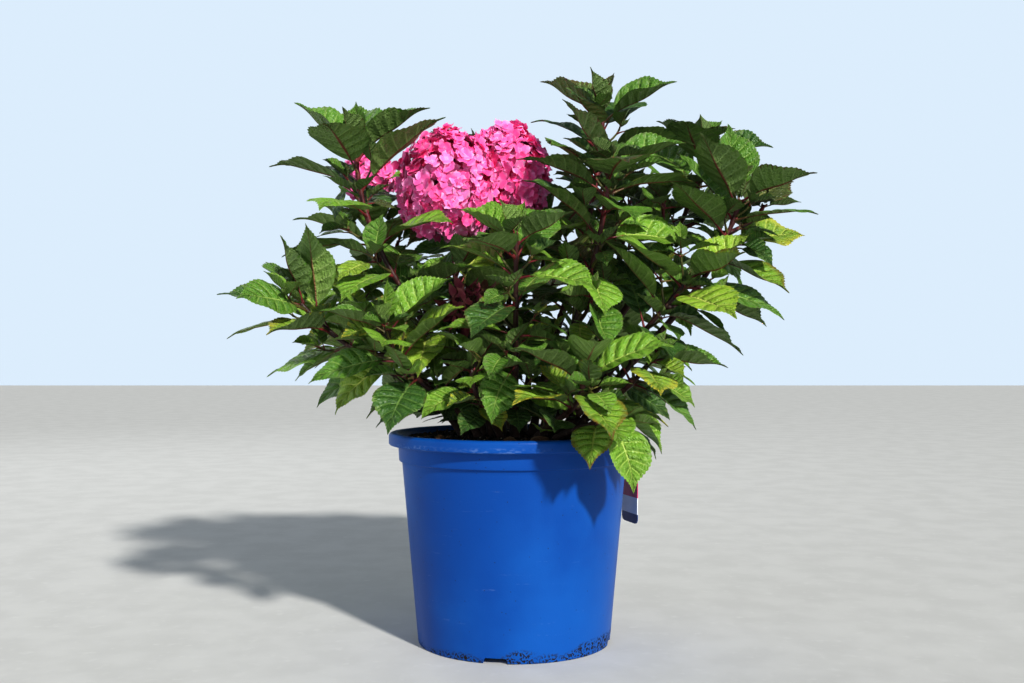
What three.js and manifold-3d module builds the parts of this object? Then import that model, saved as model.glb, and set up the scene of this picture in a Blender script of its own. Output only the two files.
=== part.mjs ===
// A mophead hydrangea in a plastic nursery pot, in millimetres, +Z up.
// The origin is the centre of the pot's flat underside. +X is the plant's right as it is looked at
// from the front, and +Y points away from the viewer. Each cane is one tapering limb with its own
// tuft of opposite leaves, and the flower heads are lumpy cores with four-petalled florets.

import * as THREE from 'three';
import { mergeVertices } from 'three/addons/utils/BufferGeometryUtils.js';
import Module from 'manifold-3d';

const wasm = await Module();
wasm.setup();

const CLEAR = 0.3; // air left between two pieces that touch
const FACETS = 32; // sides of every turned piece

// The pot, from its foot to the rolled lip.
const POT = {
  height: 233,
  rimRadius: 140,
  lipDepth: 13,
  lipRounding: 3.5,
  lipInnerRadius: 131,
  bandTopRadius: 129.7,
  bandFootRadius: 128.6,
  stepHeight: 202,
  wallTopRadius: 125.4,
  footRadius: 107.3,
  wall: 2.3,
  floor: 7,
  recess: 4.2,
  hubRadius: 22,
  ringWidth: 10,
  ribAngle: 12,
  notches: 4,
  notchWidth: 27,
  notchHeight: 6,
  firstNotch: -100.5, // degrees from +X, so that one notch shows a little left of the front
};

// The compost: flat where the canes stand and lower at the pot's wall.
const SOIL = { top: 229.5, edge: 225.5, flatRadius: 78 };

// The plain care label hooked over the lip at the right, a little behind.
const LABEL = {
  azimuth: 18,
  thick: 1.2,
  strapWidth: 16,
  plateWidth: 44,
  plateTop: 200,
  plateFoot: 125,
  hang: 142,
  inside: 227.5,
};

// Canes: the radius at foot and tip for a long one, the flare at the ground, and the bud at the tip.
const CANE = { footRadius: 4.8, tipRadius: 2.2, flare: 1.4, bud: 7, sides: 5, steps: 5, stations: 24 };

// Side twigs: their length and lean from the cane, the leaves they carry and how small those are.
const TWIG = { length: 62, lean: 46, footRadius: 2.6, tipRadius: 1.8, pairs: 2, leaf: 0.8, clear: 5 };

// A leaf by its place on the cane, youngest pair first.
const LEAF = {
  size: [0.52, 0.86, 1.0, 1.0, 0.98, 0.94, 0.88, 0.82, 0.76, 0.7],
  spread: [22, 42, 54, 62, 68, 76, 84, 90, 94, 96],
  droop: [26, 40, 48, 50, 52, 54, 58, 58, 58, 58],
  gap: [3, 8, 13, 20, 28, 34, 36, 36, 36, 36],
  petiole: 0.22, // of the blade's length
  halfWidth: 0.31, // of the blade's length
  fold: 5, // degrees that each half rises from the midrib
  petioleRadius: 1.7,
  stations: 10,
  across: 5,
  clear: 5.5, // air kept round each blade
  underHead: 9, // from a flower head's stalk to the youngest pair
  lowest: 238, // height that only a hanging shoot's leaves go below
};

// The side that the light comes from, over the ground, and how far blades roll and bend to face it,
// in degrees.
const LIGHT = { from: [0.5, -0.866], roll: 20, pitch: 10 };

// A floret of four petals on a flower head, and the core that the florets stand out of.
const FLORET = { radius: 20, dish: 3, spacing: 33, core: 0.87, lowest: -0.7, reach: 9 };

// The canes. foot: where it stands. tip: where it ends. leans: its angle from upright at foot and
// tip, in degrees. pairs: pairs of leaves. phase: the youngest pair's heading in degrees.
// leaf: the longest blade. age: youngest stages of leaf that it is past. open and arch: how far its
// leaves spread and bend down, as a share of the usual. twigs: side twigs. head and rise: the radii
// of the flower head that it ends in, and how far that stands above it.
const SHOOTS = [
  { name: 'left_tall', foot: [-34, -8], tip: [-172, -42, 540], leans: [20, 2], pairs: 10,
    phase: 76, leaf: 98, twigs: 1, open: 0.82, arch: 0.9 },
  { name: 'left_low', foot: [-56, -15], tip: [-228, -60, 374], leans: [34, 40], pairs: 5,
    phase: 181, leaf: 84, age: 1, arch: 0.6, open: 0.75 },
  { name: 'left_front', foot: [-38, -34], tip: [-132, -112, 352], leans: [34, 8], pairs: 6,
    phase: 98, leaf: 80 },
  { name: 'centre_front', foot: [1, -44], tip: [2, -140, 440], leans: [28, 4], pairs: 8, phase: 62,
    leaf: 76 },
  { name: 'centre_tall', foot: [21, 6], tip: [102, 30, 596], leans: [10, 2], pairs: 9, phase: 62,
    leaf: 92, twigs: 1, open: 0.9 },
  { name: 'right_of_centre', foot: [31, -22], tip: [101, -70, 512], leans: [14, 6], pairs: 9,
    phase: 8, leaf: 96, age: 1, twigs: 1, open: 0.95 },
  { name: 'right_back', foot: [44, 16], tip: [226, 70, 559], leans: [22, 12], pairs: 8, phase: 60,
    leaf: 90, twigs: 2 },
  { name: 'right', foot: [66, -6], tip: [250, -20, 490], leans: [34, 16], pairs: 5, phase: 130,
    leaf: 94, age: 1, twigs: 1, open: 0.9, arch: 0.5 },
  { name: 'right_low', foot: [54, -24], tip: [186, -66, 400], leans: [34, 40], pairs: 5, phase: 88,
    leaf: 90, age: 1, twigs: 1, arch: 0.6 },
  { name: 'right_front', foot: [56, -42], tip: [146, -112, 322], leans: [50, 36], pairs: 4,
    phase: 70, leaf: 76, arch: 0.75 },
  { name: 'front', foot: [24, -58], tip: [70, -142, 300], leans: [52, 4], pairs: 5, phase: 96,
    leaf: 82, age: 1, open: 0.85 },
  { name: 'front_rim', foot: [44, -64], tip: [100, -130, 262], leans: [64, 60], pairs: 3,
    phase: 30, leaf: 68, age: 1, arch: 1.3, hangs: true },
  { name: 'front_left', foot: [-14, -50], tip: [-44, -108, 304], leans: [40, 8], pairs: 4,
    phase: 30, leaf: 56, age: 1 },
  { name: 'head_left', foot: [-13, -6], tip: [-68, 6, 424], leans: [8, 4], pairs: 7, phase: 30,
    leaf: 92, twigs: 1, head: [52, 50, 62], rise: 84 },
  { name: 'head_right', foot: [0, 14], tip: [-8, 50, 455], leans: [6, 2], pairs: 7, phase: 70,
    leaf: 92, twigs: 1, head: [46, 50, 54], rise: 74 },
  { name: 'head_back', foot: [-34, 28], tip: [-176, 132, 484], leans: [22, 6], pairs: 6, phase: 20,
    leaf: 92, twigs: 1, head: [30, 30, 26], rise: 56 },
  { name: 'faded', foot: [-26, -24], tip: [-42, -50, 322], leans: [10, 4], pairs: 3, phase: 40,
    leaf: 60, age: 1, head: [25, 25, 20], rise: 50 },
  { name: 'back_left', foot: [-58, 16], tip: [-190, 110, 392], leans: [34, 30], pairs: 7,
    phase: 90, leaf: 92, twigs: 1 },
  { name: 'back_left_low', foot: [-52, 44], tip: [-180, 160, 330], leans: [46, 40], pairs: 5,
    phase: 80, leaf: 88 },
  { name: 'back_tall', foot: [-14, 38], tip: [-40, 120, 548], leans: [12, 4], pairs: 8, phase: 60,
    leaf: 94, twigs: 1 },
  { name: 'back', foot: [10, 56], tip: [40, 190, 490], leans: [26, 10], pairs: 7, phase: 80,
    leaf: 94, twigs: 1 },
  { name: 'back_low', foot: [-18, 68], tip: [-56, 206, 350], leans: [44, 34], pairs: 5, phase: 70,
    leaf: 90 },
  { name: 'back_right', foot: [34, 40], tip: [146, 158, 512], leans: [24, 8], pairs: 7, phase: 50,
    leaf: 92, twigs: 1 },
  { name: 'back_right_low', foot: [56, 42], tip: [140, 150, 345], leans: [44, 36], pairs: 5,
    phase: 70, leaf: 90 },
];

const up = new THREE.Vector3(0, 0, 1);
const radians = THREE.MathUtils.degToRad;

/** A closed geometry through rings of points. A ring of one point ends the loft in a tip. */
function loft(rings) {
  const points = rings.flat();
  const starts = rings.map((ring, i) => rings.slice(0, i).reduce((sum, r) => sum + r.length, 0));
  const faces = [];
  for (let i = 0; i + 1 < rings.length; i += 1) {
    const [low, high] = [rings[i].length, rings[i + 1].length];
    const sides = Math.max(low, high);
    for (let k = 0; k < sides; k += 1) {
      const next = (k + 1) % sides;
      const [a, b] = [starts[i] + (k % low), starts[i] + (next % low)];
      const [c, d] = [starts[i + 1] + (k % high), starts[i + 1] + (next % high)];
      if (a !== b) faces.push(a, b, d);
      if (c !== d) faces.push(a, d, c);
    }
  }
  const cap = (ring, start, flip) => {
    for (let k = 1; k + 1 < ring.length; k += 1) {
      faces.push(start, ...(flip ? [start + k + 1, start + k] : [start + k, start + k + 1]));
    }
  };
  cap(rings[0], 0, true);
  cap(rings.at(-1), starts.at(-1), false);
  const geometry = new THREE.BufferGeometry().setFromPoints(points);
  return geometry.setIndex(faces);
}

/** A geometry as a solid that can be joined and cut. */
function solidOf(geometry) {
  const bare = new THREE.BufferGeometry();
  bare.setAttribute('position', geometry.getAttribute('position'));
  if (geometry.index) bare.setIndex(geometry.index);
  const merged = mergeVertices(bare, 1e-3);
  return new wasm.Manifold(new wasm.Mesh({
    numProp: 3,
    vertProperties: new Float32Array(merged.getAttribute('position').array),
    triVerts: new Uint32Array(merged.index.array),
  }));
}

/** A solid as a named mesh with its material. */
function meshOf(name, solid, material) {
  const { vertProperties, triVerts } = solid.getMesh();
  const geometry = new THREE.BufferGeometry();
  geometry.setAttribute('position', new THREE.BufferAttribute(vertProperties, 3));
  geometry.setIndex(new THREE.BufferAttribute(triVerts, 1));
  geometry.computeVertexNormals();
  const mesh = new THREE.Mesh(geometry, material);
  mesh.name = name;
  return mesh;
}

/** A repeatable number from 0 to 1 for a set of whole numbers. */
function chance(...keys) {
  const angle = keys.reduce((sum, key, i) => sum + key * (12.9898 + 65.233 * i), 4.1);
  const value = Math.sin(angle) * 43758.5453;
  return value - Math.floor(value);
}

/** A repeatable number from -size to size. */
const jitter = (size, ...keys) => size * (2 * chance(...keys) - 1);

/** A turned solid from a profile of [radius, height] points that starts and ends on the axis. */
function turned(profile) {
  const points = profile.map(([r, z]) => new THREE.Vector2(r, z));
  return solidOf(new THREE.LatheGeometry(points, FACETS).rotateX(Math.PI / 2));
}

/** The pot's inner outline from the floor's edge to the lip, as [radius, height] points. */
function potInside() {
  const p = POT;
  return [
    [p.footRadius - p.wall + 0.6, p.floor],
    [p.wallTopRadius - p.wall, p.stepHeight - 2],
    [p.bandFootRadius - p.wall, p.stepHeight + 2],
    [p.bandTopRadius - p.wall, p.height - p.lipRounding],
  ];
}

/** The pot: a turned body, hollowed under its floor, with its drain openings. */
function pot() {
  const p = POT;
  const lipFoot = p.height - p.lipDepth;
  const body = turned([
    [0, 0],
    [p.footRadius, 0],
    [p.wallTopRadius, p.stepHeight],
    [p.bandFootRadius, p.stepHeight],
    [p.bandTopRadius, lipFoot],
    [p.rimRadius - 1.5, lipFoot],
    [p.rimRadius, lipFoot + p.lipRounding],
    [p.rimRadius, p.height - p.lipRounding],
    [p.rimRadius - 3, p.height],
    [p.lipInnerRadius, p.height],
    ...potInside().reverse(),
    [0, p.floor],
  ]);
  const cuts = [];
  const sector = 360 / p.notches;
  for (let i = 0; i < p.notches; i += 1) {
    const middle = p.firstNotch + i * sector;
    cuts.push(recessBetweenRibs(middle, sector - p.ribAngle), drainNotch(middle));
  }
  return body.subtract(wasm.Manifold.union(cuts));
}

/** The hollow under the floor between two ribs, around a heading in degrees. */
function recessBetweenRibs(heading, width) {
  const p = POT;
  const [from, to] = [radians(heading - width / 2), radians(heading + width / 2)];
  const shape = new THREE.Shape();
  shape.absarc(0, 0, p.footRadius - p.ringWidth, from, to, false);
  shape.absarc(0, 0, p.hubRadius, to, from, true);
  const path = { depth: p.recess + 1, bevelEnabled: false, curveSegments: 6 };
  return solidOf(new THREE.ExtrudeGeometry(shape, path).translate(0, 0, -1));
}

/** The drain opening cut through the foot ring. */
function drainNotch(heading) {
  const p = POT;
  const shape = new THREE.Shape([
    new THREE.Vector2(-p.notchWidth / 2, -1),
    new THREE.Vector2(p.notchWidth / 2, -1),
    new THREE.Vector2(p.notchWidth / 2 - 2, p.notchHeight),
    new THREE.Vector2(-p.notchWidth / 2 + 2, p.notchHeight),
  ]);
  const depth = p.ringWidth * 2;
  const geometry = new THREE.ExtrudeGeometry(shape, { depth, bevelEnabled: false });
  geometry.rotateX(Math.PI / 2).rotateZ(Math.PI / 2).translate(p.footRadius - p.ringWidth * 1.2, 0, 0);
  return solidOf(geometry.rotateZ(radians(heading)));
}

/** The compost, clear of the pot's floor and wall. */
function soil() {
  const inner = potInside().map(([r, z]) => [r - CLEAR, z]);
  inner[0][1] += CLEAR;
  const wallAtEdge = inner[2][0] + 0.5;
  return turned([
    [0, inner[0][1]],
    inner[0],
    inner[1],
    inner[2],
    [wallAtEdge, SOIL.edge],
    [SOIL.flatRadius, SOIL.top],
    [0, SOIL.top],
  ]);
}

/** The label: a narrow strap over the lip that widens into a hanging plate. */
function careLabel() {
  const l = LABEL;
  const over = POT.height + CLEAR + 0.3;
  const strap = new THREE.Shape([
    new THREE.Vector2(POT.lipInnerRadius - 5.8, l.inside),
    new THREE.Vector2(POT.lipInnerRadius - 5.8 + l.thick, l.inside),
    new THREE.Vector2(POT.lipInnerRadius - 5.8 + l.thick, over),
    new THREE.Vector2(l.hang - l.thick, over),
    new THREE.Vector2(l.hang - l.thick, l.plateTop - 4),
    new THREE.Vector2(l.hang, l.plateTop - 4),
    new THREE.Vector2(l.hang, over + l.thick),
    new THREE.Vector2(POT.lipInnerRadius - 5.8, over + l.thick),
  ]);
  const band = new THREE.ExtrudeGeometry(strap, { depth: l.strapWidth, bevelEnabled: false });
  band.translate(0, 0, -l.strapWidth / 2).rotateX(Math.PI / 2);
  const plate = new THREE.BoxGeometry(l.thick, l.plateWidth, l.plateTop - l.plateFoot);
  plate.translate(l.hang - l.thick / 2, 0, (l.plateTop + l.plateFoot) / 2);
  const turn = radians(l.azimuth);
  return solidOf(band.rotateZ(turn)).add(solidOf(plate.rotateZ(turn)));
}

/** A unit vector at an angle from upright towards a level heading. */
function leaning(level, lean) {
  return level.clone().multiplyScalar(Math.sin(radians(lean))).addScaledVector(up, Math.cos(radians(lean)));
}

/** A tapering limb along a cubic, measured by the distance from its foot. */
class Limb {
  constructor(foot, footWay, tip, tipWay, footRadius, tipRadius) {
    const reach = foot.distanceTo(tip) * 0.38;
    const second = tip.clone().addScaledVector(tipWay, -reach);
    this.curve = new THREE.CubicBezierCurve3(foot, foot.clone().addScaledVector(footWay, reach), second, tip);
    this.footRadius = footRadius;
    this.tipRadius = tipRadius;
    this.lengths = [0];
    this.points = [foot];
    for (let i = 1; i <= CANE.stations; i += 1) {
      this.points.push(this.curve.getPoint(i / CANE.stations));
      this.lengths.push(this.lengths[i - 1] + this.points[i].distanceTo(this.points[i - 1]));
    }
    this.length = this.lengths.at(-1);
  }

  /** Point, direction and radius at a distance from the foot. */
  at(distance) {
    const along = Math.min(Math.max(distance, 0), this.length);
    let i = 1;
    while (i < CANE.stations && this.lengths[i] < along) i += 1;
    const share = (along - this.lengths[i - 1]) / (this.lengths[i] - this.lengths[i - 1]);
    const point = this.points[i - 1].clone().lerp(this.points[i], share);
    const way = this.curve.getTangent((i - 1 + share) / CANE.stations);
    const radius = this.footRadius + (this.tipRadius - this.footRadius) * (along / this.length);
    return { point, way, radius };
  }

  /** Marks every few millimetres, for telling how near something comes. */
  marks(step) {
    const count = Math.ceil(this.length / step);
    return Array.from({ length: count + 1 }, (_, i) => this.at((this.length * i) / count));
  }

  /** The tube between two distances: cut flat on the ground at a cane's foot, or pointed as a bud. */
  tube(from, to, { steps, sides, onGround = false, bud = 0 }) {
    const rings = [];
    for (let i = 0; i <= steps; i += 1) {
      const { point, way, radius } = this.at(from + (to - from) * (i / steps));
      const level = onGround && i === 0;
      const axis = level ? up : way;
      const across = new THREE.Vector3(0, 1, 0).cross(axis).normalize();
      const beside = axis.clone().cross(across);
      const size = radius * (level ? CANE.flare : 1);
      rings.push(Array.from({ length: sides }, (_, k) => {
        const turn = (k / sides) * 2 * Math.PI;
        return point.clone().addScaledVector(across, size * Math.cos(turn))
          .addScaledVector(beside, size * Math.sin(turn));
      }));
    }
    if (bud > 0) rings.push([this.at(to).point.addScaledVector(this.at(to).way, bud)]);
    return loft(rings);
  }
}

/** The cane of a shoot, from the compost to its tip. */
function caneOf(shoot) {
  const tip = new THREE.Vector3(...shoot.tip);
  const foot = new THREE.Vector3(...shoot.foot, SOIL.top + CLEAR);
  const out = new THREE.Vector3(tip.x - foot.x, tip.y - foot.y, 0).normalize();
  const radius = CANE.footRadius * Math.min(1, 0.62 + foot.distanceTo(tip) / 900);
  const [footWay, tipWay] = shoot.leans.map((lean) => leaning(out, lean));
  return new Limb(foot, footWay, tip, tipWay, radius, CANE.tipRadius);
}

/** Level direction out of a limb at a node, at a phase turned round the limb. */
function outOf(way, phase) {
  const side = new THREE.Vector3(1, 0, 0).addScaledVector(way, -way.x).normalize();
  const back = way.clone().cross(side);
  return side.multiplyScalar(Math.cos(radians(phase))).addScaledVector(back, Math.sin(radians(phase)));
}

/** How far below a limb's tip a pair of leaves stands. */
function depthOf(pair, scale) {
  return LEAF.gap.slice(0, pair + 1).reduce((sum, gap) => sum + gap * scale, 0);
}

/** The side twigs of a shoot, each from the axil of an older pair of leaves. */
function twigsOf(shoot, index, cane, space) {
  const twigs = [];
  for (let k = 0; k < (shoot.twigs ?? 0); k += 1) {
    const pair = shoot.pairs - 2 - k;
    const node = cane.at(cane.length - depthOf(pair, 1) + 5);
    const phase = shoot.phase + pair * 90 + 180 * (k % 2) + jitter(12, index, k, 11);
    const out = outOf(node.way, phase);
    const way = node.way.clone().multiplyScalar(Math.cos(radians(TWIG.lean)))
      .addScaledVector(out, Math.sin(radians(TWIG.lean)));
    const length = TWIG.length * (1 + jitter(0.2, index, k, 12));
    const tip = node.point.clone().addScaledVector(way, length * 0.94);
    tip.z += length * 0.1;
    const tipWay = way.clone().addScaledVector(up, 0.9).normalize();
    const twig = new Limb(node.point.clone(), way, tip, tipWay, TWIG.footRadius, TWIG.tipRadius);
    if (space.twigIsFree(twig, index)) {
      space.addLimb(twig, index);
      twigs.push({ twig, phase: phase + 90 });
    }
  }
  return twigs;
}

/** The flower head at the end of a shoot: its centre, radii and stalk. */
function headOf(shoot, cane, owner) {
  const { point, way, radius } = cane.at(cane.length);
  const centre = point.clone().addScaledVector(way, shoot.rise);
  const foot = point.clone().addScaledVector(way, CLEAR);
  const stalk = new Limb(foot, way, centre.clone(), way, radius, radius * 0.9);
  return { owner, centre, radii: new THREE.Vector3(...shoot.head), stalk };
}

/** A leaf's pose: stations along petiole and blade, each with its own small frame. */
function leafPose(leaf) {
  const { point, way } = leaf.node;
  const spread = radians(leaf.spread);
  const first = way.clone().multiplyScalar(Math.cos(spread))
    .addScaledVector(outOf(way, leaf.phase), Math.sin(spread));
  const heading = Math.atan2(first.y, first.x) + radians(leaf.yaw);
  const facing = Math.cos(heading) * LIGHT.from[0] + Math.sin(heading) * LIGHT.from[1];
  const beside = Math.sin(heading) * LIGHT.from[0] - Math.cos(heading) * LIGHT.from[1];
  const rise = Math.asin(Math.min(Math.max(first.z, -1), 1))
    + radians(leaf.pitch - LIGHT.pitch * facing);
  const petiole = leaf.length * LEAF.petiole;
  const total = petiole + leaf.length;
  const roll = radians(leaf.roll + LIGHT.roll * beside);
  const here = point.clone();
  const stations = [];
  for (let i = 0; i <= LEAF.stations; i += 1) {
    const share = i / LEAF.stations;
    const lift = Math.max(rise - radians(leaf.droop) * share ** 1.6, radians(-84));
    const [c, s] = [Math.cos(lift), Math.sin(lift)];
    const direction = new THREE.Vector3(c * Math.cos(heading), c * Math.sin(heading), s);
    const flat = new THREE.Vector3(-s * Math.cos(heading), -s * Math.sin(heading), c);
    const level = direction.clone().cross(flat);
    const bladeShare = (share * total - petiole) / leaf.length;
    stations.push({
      place: here.clone(),
      direction,
      normal: flat.clone().multiplyScalar(Math.cos(roll)).addScaledVector(level, Math.sin(roll)),
      across: level.clone().multiplyScalar(Math.cos(roll)).addScaledVector(flat, -Math.sin(roll)),
      halfWidth: bladeShare > 0 ? bladeHalfWidth(bladeShare) * leaf.length : 0,
    });
    here.addScaledVector(direction, total / LEAF.stations);
  }
  return { ...leaf, petiole, total, stations };
}

/** Half the blade's width at a share of its length, as a share of its length: widest before the middle. */
function bladeHalfWidth(share) {
  const t = Math.min(Math.max(share, 0), 1);
  return LEAF.halfWidth * Math.sin(Math.PI * t ** 0.82) ** 0.85;
}

/** The frame at a share of the whole leaf, between its stations. */
function along(pose, share) {
  const place = Math.min(Math.max(share, 0), 1) * LEAF.stations;
  const i = Math.min(Math.floor(place), LEAF.stations - 1);
  const [a, b] = [pose.stations[i], pose.stations[i + 1]];
  const mix = (key) => a[key].clone().lerp(b[key], place - i);
  return {
    place: mix('place'),
    direction: mix('direction').normalize(),
    normal: mix('normal').normalize(),
    across: mix('across').normalize(),
  };
}

/** Points on the blade that stand for it when it is tested against others. */
function samplesOf(pose) {
  const samples = [];
  for (const s of pose.stations) {
    const lines = s.halfWidth > 0 ? LEAF.across : 1;
    for (let k = 0; k < lines; k += 1) {
      const share = lines === 1 ? 0 : (2 * k) / (lines - 1) - 1;
      const lift = Math.abs(share) * s.halfWidth * Math.tan(radians(LEAF.fold));
      const side = s.place.clone().addScaledVector(s.across, share * s.halfWidth);
      samples.push(side.addScaledVector(s.normal, lift));
    }
  }
  return samples;
}

/** Whether a point comes nearer than clear to a posed leaf's blade. */
function nearBlade(point, pose, clear) {
  const half = pose.total / LEAF.stations / 2 + 1;
  return pose.stations.some((s) => {
    if (s.halfWidth <= 0) return false;
    const off = point.clone().sub(s.place);
    const sideways = off.dot(s.across);
    const lift = Math.abs(sideways) * Math.tan(radians(LEAF.fold));
    return Math.abs(off.dot(s.direction)) < half
      && Math.abs(sideways) < s.halfWidth + 2
      && Math.abs(off.dot(s.normal) - lift) < clear;
  });
}

/** The plant's limbs, heads and leaves so far, which each new piece has to keep clear of. */
class Space {
  constructor(canes, heads) {
    this.leaves = [];
    this.heads = heads;
    this.limbs = [];
    canes.forEach((limb, owner) => this.addLimb(limb, owner));
    heads.forEach((head) => this.addLimb(head.stalk, head.owner));
  }

  addLimb(limb, owner) {
    this.limbs.push({ owner, marks: limb.marks(6) });
  }

  /** Whether a point is inside a flower head made larger by a margin. */
  inHead(point, margin) {
    return this.heads.some(({ centre, radii }) => Math.hypot(
      (point.x - centre.x) / (radii.x + margin),
      (point.y - centre.y) / (radii.y + margin),
      (point.z - centre.z) / (radii.z + margin),
    ) < 1);
  }

  /** Whether a side twig keeps clear of the heads and of the other shoots' limbs. */
  twigIsFree(twig, owner) {
    const marks = twig.marks(6);
    if (marks.some((mark) => this.inHead(mark.point, FLORET.reach + mark.radius))) return false;
    return this.limbs.every((limb) => limb.owner === owner || !marks.some((mark) => limb.marks.some(
      (other) => mark.point.distanceTo(other.point) < mark.radius + other.radius + TWIG.clear,
    )));
  }

  /** Whether a posed leaf keeps clear of everything placed before it. */
  leafIsFree(pose) {
    const { samples, middle } = pose;
    const low = POT.height + 4;
    const overPot = (p) => p.z < low && Math.hypot(p.x, p.y) < POT.rimRadius + 5;
    const tooLow = (p) => (pose.hangs ? overPot(p) : p.z < LEAF.lowest);
    if (samples.some((p) => tooLow(p) || this.inHead(p, FLORET.reach))) return false;
    for (const { owner, marks } of this.limbs) {
      for (const mark of marks) {
        if (mark.point.distanceTo(middle) > pose.total / 2 + 12) continue;
        if (owner === pose.index && mark.point.distanceTo(pose.node.point) < pose.petiole + 14) continue;
        if (nearBlade(mark.point, pose, mark.radius + 1.5)) return false;
        if (pose.stations.some((s) => s.place.distanceTo(mark.point) < mark.radius + 4.5)) return false;
      }
    }
    return this.leaves.every((other) => {
      const room = (other.total + pose.total) / 2 + LEAF.clear;
      if (other.middle.distanceTo(middle) > room) return true;
      return !samples.some((p) => nearBlade(p, other, LEAF.clear))
        && !other.samples.some((p) => nearBlade(p, pose, LEAF.clear));
    });
  }
}

// Small changes of heading, pitch and size that a leaf makes, in this order, to find its own air.
const TRIES = [[0, 0, 1]];
for (const size of [1, 0.88, 0.74]) {
  for (const swing of [12, 24, 36]) {
    for (const [yaw, pitch] of [[0, 1], [1, 0], [-1, 0], [0, -1], [1, 1], [-1, 1], [1, -1], [-1, -1]]) {
      TRIES.push([yaw * swing, pitch * swing, size]);
    }
  }
}

/** Opposite pairs of leaves down a limb, each pair a quarter turn from the one above. */
function leavesOn(limb, place, space) {
  const { index, branch, pairs, phase, size, tight, head } = place;
  const { age = 0, open = 1, arch = 1, hangs = false } = place;
  const kept = [];
  for (let pair = 0; pair < pairs; pair += 1) {
    const distance = limb.length - depthOf(pair, tight) - (head ? LEAF.underHead : 0);
    if (distance < 12) break;
    for (const side of [0, 1]) {
      const key = [index, branch, pair, side];
      const base = {
        index,
        hangs,
        node: limb.at(distance),
        distance,
        phase: phase + pair * 90 + side * 180 + jitter(9, ...key, 1),
        spread: LEAF.spread[pair + age] * open + jitter(7, ...key, 2),
        droop: LEAF.droop[pair + age] * arch + jitter(12, ...key, 3),
        roll: jitter(24, ...key, 4),
      };
      const full = size * LEAF.size[pair + age] * (1 + jitter(0.09, ...key, 5));
      for (const [yaw, pitch, share] of TRIES) {
        const pose = leafPose({ ...base, yaw, pitch, length: full * share });
        pose.samples = samplesOf(pose);
        pose.middle = pose.stations[LEAF.stations / 2].place;
        if (space.leafIsFree(pose)) {
          space.leaves.push(pose);
          kept.push(pose);
          break;
        }
      }
    }
  }
  return kept;
}

/** One leaf with its petiole: flat above between its edges, and keeled below along the midrib. */
function leafSolid(pose) {
  const { petiole, total, length } = pose;
  const ring = (share, halfWidth, depth) => {
    const f = along(pose, share);
    const lift = Math.min(depth, halfWidth * Math.tan(radians(LEAF.fold)) + LEAF.petioleRadius * 0.5);
    return [
      f.place.clone().addScaledVector(f.normal, lift - depth),
      f.place.clone().addScaledVector(f.across, -halfWidth).addScaledVector(f.normal, lift),
      f.place.clone().addScaledVector(f.across, halfWidth).addScaledVector(f.normal, lift),
    ];
  };
  const bladeAt = (share) => (petiole + share * length) / total;
  const stalk = LEAF.petioleRadius;
  const foldRise = Math.tan(radians(LEAF.fold));
  const widths = [0.28, 0.64].map((share) => [bladeAt(share), bladeHalfWidth(share) * length]);
  return solidOf(loft([
    ring(0.004, stalk, stalk * 1.8),
    ring(bladeAt(0.02), stalk, stalk * 1.8),
    ...widths.map(([share, halfWidth]) => ring(share, halfWidth, halfWidth * foldRise + 1)),
    [along(pose, 1).place],
  ]));
}

/** A floret: four rounded petals with notches between them, dished towards its middle. */
function floretSolid(centre, normal, turn, radius) {
  const side = new THREE.Vector3(0.31, 0.2, 0.93).cross(normal).normalize();
  const back = normal.clone().cross(side);
  const ring = Array.from({ length: 4 }, (_, k) => {
    const angle = turn + (k / 4) * 2 * Math.PI;
    return centre.clone().addScaledVector(side, radius * Math.cos(angle))
      .addScaledVector(back, radius * Math.sin(angle));
  });
  const root = centre.clone().addScaledVector(normal, -radius * 0.9);
  return solidOf(loft([[root], ring, [centre.clone().addScaledVector(normal, FLORET.dish * 0.2)]]));
}

/** The plane between two heads that press on each other, seen from the first. */
function seamBetween(head, other) {
  const apart = other.centre.clone().sub(head.centre);
  const normal = apart.clone().normalize();
  const reach = (h) => normal.clone().multiply(h.radii).length();
  const offset = (apart.length() * reach(head)) / (reach(head) + reach(other));
  return { normal, offset, pressed: apart.length() < reach(head) + reach(other) + 2 * FLORET.reach };
}

/** A flower head on its stalk: florets in a spiral over a core, from the crown down. */
function headSolid(head, heads) {
  const { centre, radii } = head;
  const scale = Math.min(1, radii.x / 50);
  const seams = heads.filter((other) => other !== head).map((other) => seamBetween(head, other))
    .filter((seam) => seam.pressed);
  const core = new THREE.IcosahedronGeometry(1, 1);
  core.scale(radii.x * FLORET.core, radii.y * FLORET.core, radii.z * FLORET.core);
  core.translate(centre.x, centre.y, centre.z);
  const pieces = [solidOf(core)];
  const mean = (radii.x + radii.y + radii.z) / 3;
  const spacing = FLORET.spacing * scale;
  const count = Math.round((2 * Math.PI * mean * mean * (1 - FLORET.lowest)) / (spacing * spacing));
  for (let k = 0; k < count; k += 1) {
    const z = 1 - ((1 - FLORET.lowest) * (k + 0.5)) / count;
    const turn = k * 2.399963;
    const flat = Math.sqrt(1 - z * z);
    const unit = new THREE.Vector3(flat * Math.cos(turn), flat * Math.sin(turn), z);
    const place = unit.clone().multiply(radii).multiplyScalar(0.97 + jitter(0.03, head.owner, k, 21));
    if (seams.some(({ normal, offset }) => place.dot(normal) > offset - 4)) continue;
    const facing = unit.clone().divide(radii).normalize();
    const spin = 2 * Math.PI * chance(head.owner, k, 22);
    pieces.push(floretSolid(place.add(centre), facing, spin, FLORET.radius * scale));
  }
  let solid = wasm.Manifold.union(pieces);
  for (const { normal, offset } of seams) {
    const away = normal.clone().negate();
    solid = solid.trimByPlane(away.toArray(), away.dot(centre) - offset + CLEAR / 2);
  }
  const stalk = head.stalk.tube(0, head.stalk.length * 0.8, { steps: 1, sides: 5 });
  return solid.asOriginal().simplify(0.4).add(solidOf(stalk));
}

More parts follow.
